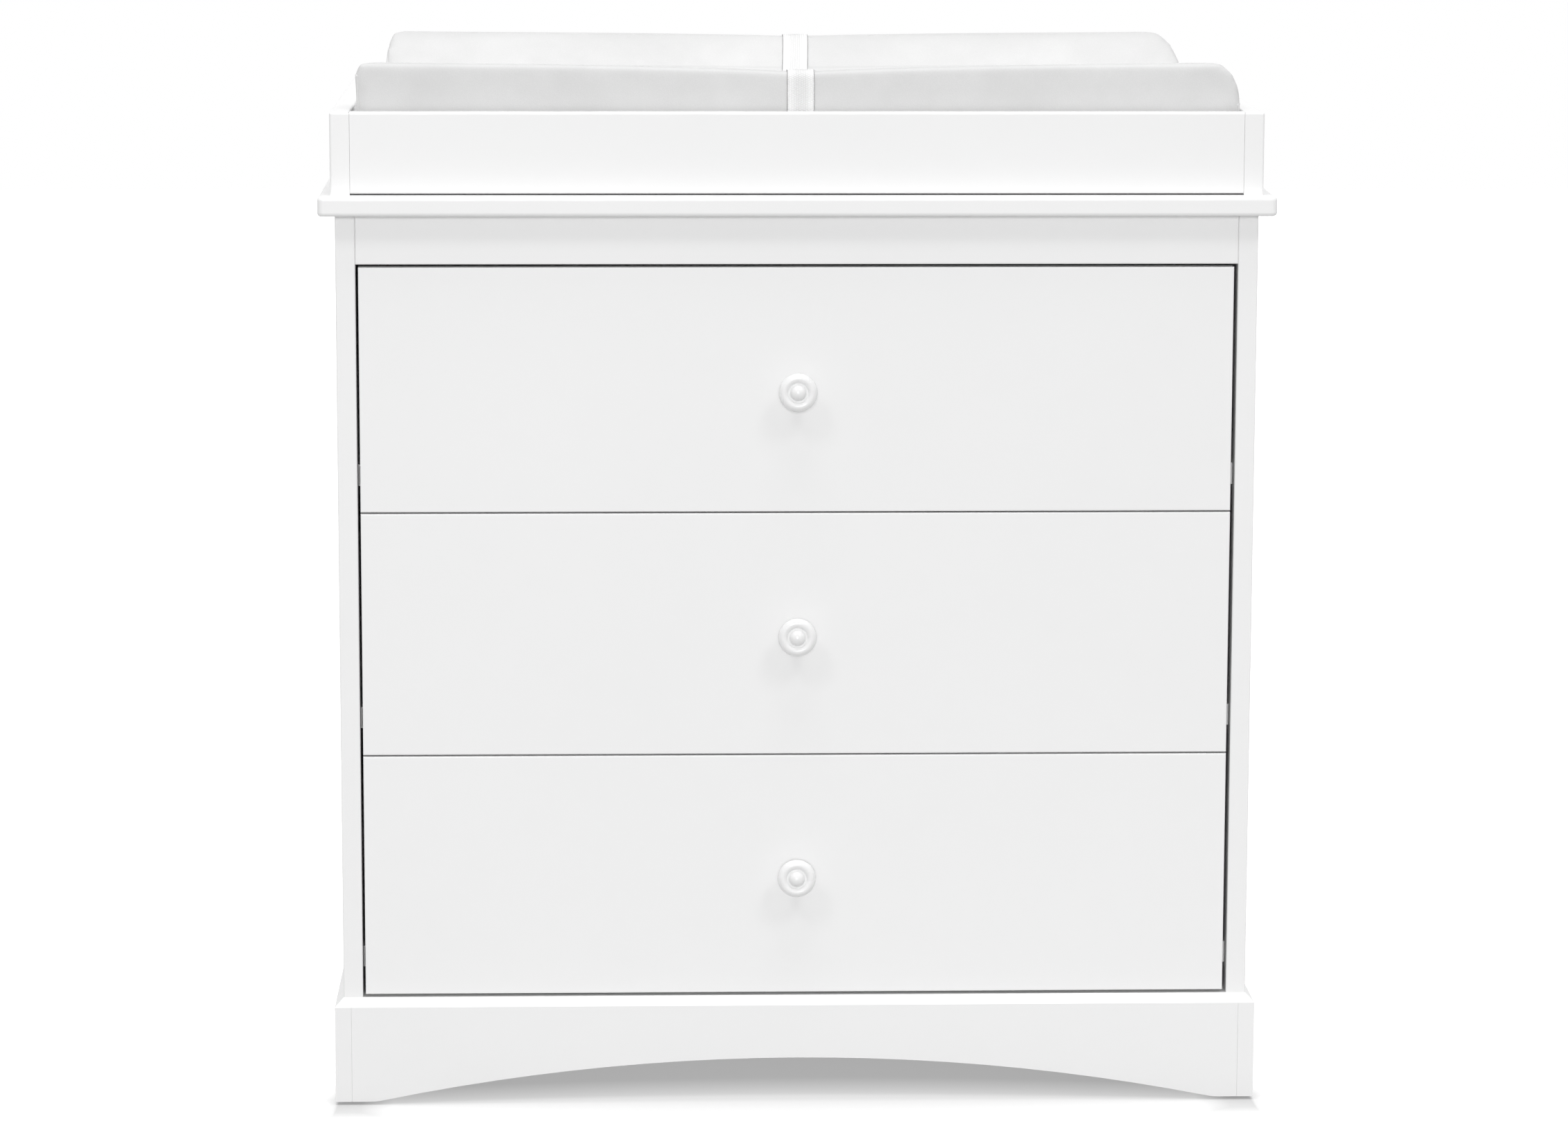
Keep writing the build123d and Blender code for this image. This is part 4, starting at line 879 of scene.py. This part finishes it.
def studio_floor():
    """A white floor that shows the object's cast shadow near the base; its own light, varied by place, paints
    that shadow's shape under the arch, at the feet and around the base.
    """
    mesh = bpy.data.meshes.new("studio_floor")
    corners = [(-FLOOR_HALF, -FLOOR_HALF, 0), (FLOOR_HALF, -FLOOR_HALF, 0), (FLOOR_HALF, FLOOR_HALF, 0)]
    mesh.from_pydata(corners + [(-FLOOR_HALF, FLOOR_HALF, 0)], [], [(0, 1, 2, 3)])
    material, tree, shader = finish("studio_floor", 0.9)
    shader.inputs["Base Color"].default_value = (*grey(FLOOR_TONE), 1)
    shader.inputs["Specular IOR Level"].default_value = 0.0
    shader.inputs["Emission Color"].default_value = (1, 1, 1, 1)
    place = tree.nodes.new("ShaderNodeSeparateXYZ")
    tree.links.new(coords(tree), place.inputs["Vector"])
    # Painted shadow: the floor's own light for the camera is lowest in a bow under the arch and at the feet,
    # and rises to white away from the base
    ahead = maths(tree, "SUBTRACT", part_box("base_front_board")[0].y, place.outputs["Y"])
    off_middle = maths(tree, "ABSOLUTE", place.outputs["X"])
    beside = maths(tree, "SUBTRACT", off_middle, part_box("base_right_board")[1].x)
    rest = remap(tree, beside, SHADOW_REST, 1.0, 0.0, SHADOW_SIDE)
    rest = maths(tree, "ADD", rest, remap(tree, ahead, SHADOW_REST, 0.0, *SHADOW_BACK))
    around = maths(tree, "MINIMUM", remap(tree, beside, 0.0, 1.0, *SHADOW_EDGE), rest)
    before = remap(tree, ahead, SHADOW_LIFT, 1.0, 0.0, SHADOW_FRONT)
    bow = maths(tree, "MULTIPLY", maths(tree, "POWER", off_middle, 2.0), ARCH_BOW)
    arch = remap(tree, maths(tree, "SUBTRACT", ahead, bow), *ARCH_LIFT, *ARCH_DEPTH)
    arch = maths(tree, "SUBTRACT", arch, remap(tree, off_middle, 0.0, FOOT_SHADE, *FOOT_REACH))
    lift = remap(tree, ahead, 1.0, 0.0, *SHADOW_FAR)
    for share in (arch, around, before):
        lift = maths(tree, "MAXIMUM", lift, share)
    tree.links.new(maths(tree, "MULTIPLY", seen_rays(tree), lift), shader.inputs["Emission Strength"])
    new_piece("studio_floor", mesh, material)


def soft_lamp(name, strength, width, turn, lift):
    """A wide far lamp in front of the object, turned to one side and lifted."""
    lamp = bpy.data.lights.new(name, "SUN")
    lamp.angle = math.radians(width)
    lamp.energy = strength
    light = bpy.data.objects.new(name, lamp)
    SCENE.collection.objects.link(light)
    a, e = math.radians(turn), math.radians(lift)
    away = Vector((math.sin(a) * math.cos(e), -math.cos(a) * math.cos(e), math.sin(e)))
    light.rotation_euler = away.to_track_quat("Z", "Y").to_euler()


def photo_camera():
    """The camera where the photograph was taken from."""
    data = bpy.data.cameras.new("camera")
    data.sensor_fit = "HORIZONTAL"
    data.sensor_width = SENSOR
    data.lens = FOCAL_PX / IMAGE_W * SENSOR
    data.clip_end = 100.0
    camera = bpy.data.objects.new("camera", data)
    SCENE.collection.objects.link(camera)
    yaw = Matrix.Rotation(math.radians(-CAMERA_YAW), 4, "Z")
    pitch = Matrix.Rotation(math.radians(90 - CAMERA_PITCH), 4, "X")
    roll = Matrix.Rotation(math.radians(CAMERA_ROLL), 4, "Z")
    camera.matrix_world = Matrix.Translation(CAMERA_AT) @ yaw @ pitch @ roll
    SCENE.camera = camera


studio_world()
studio_floor()
for name, values in LAMPS.items():
    soft_lamp(name, *values)
photo_camera()
SCENE.view_settings.view_transform = "Standard"
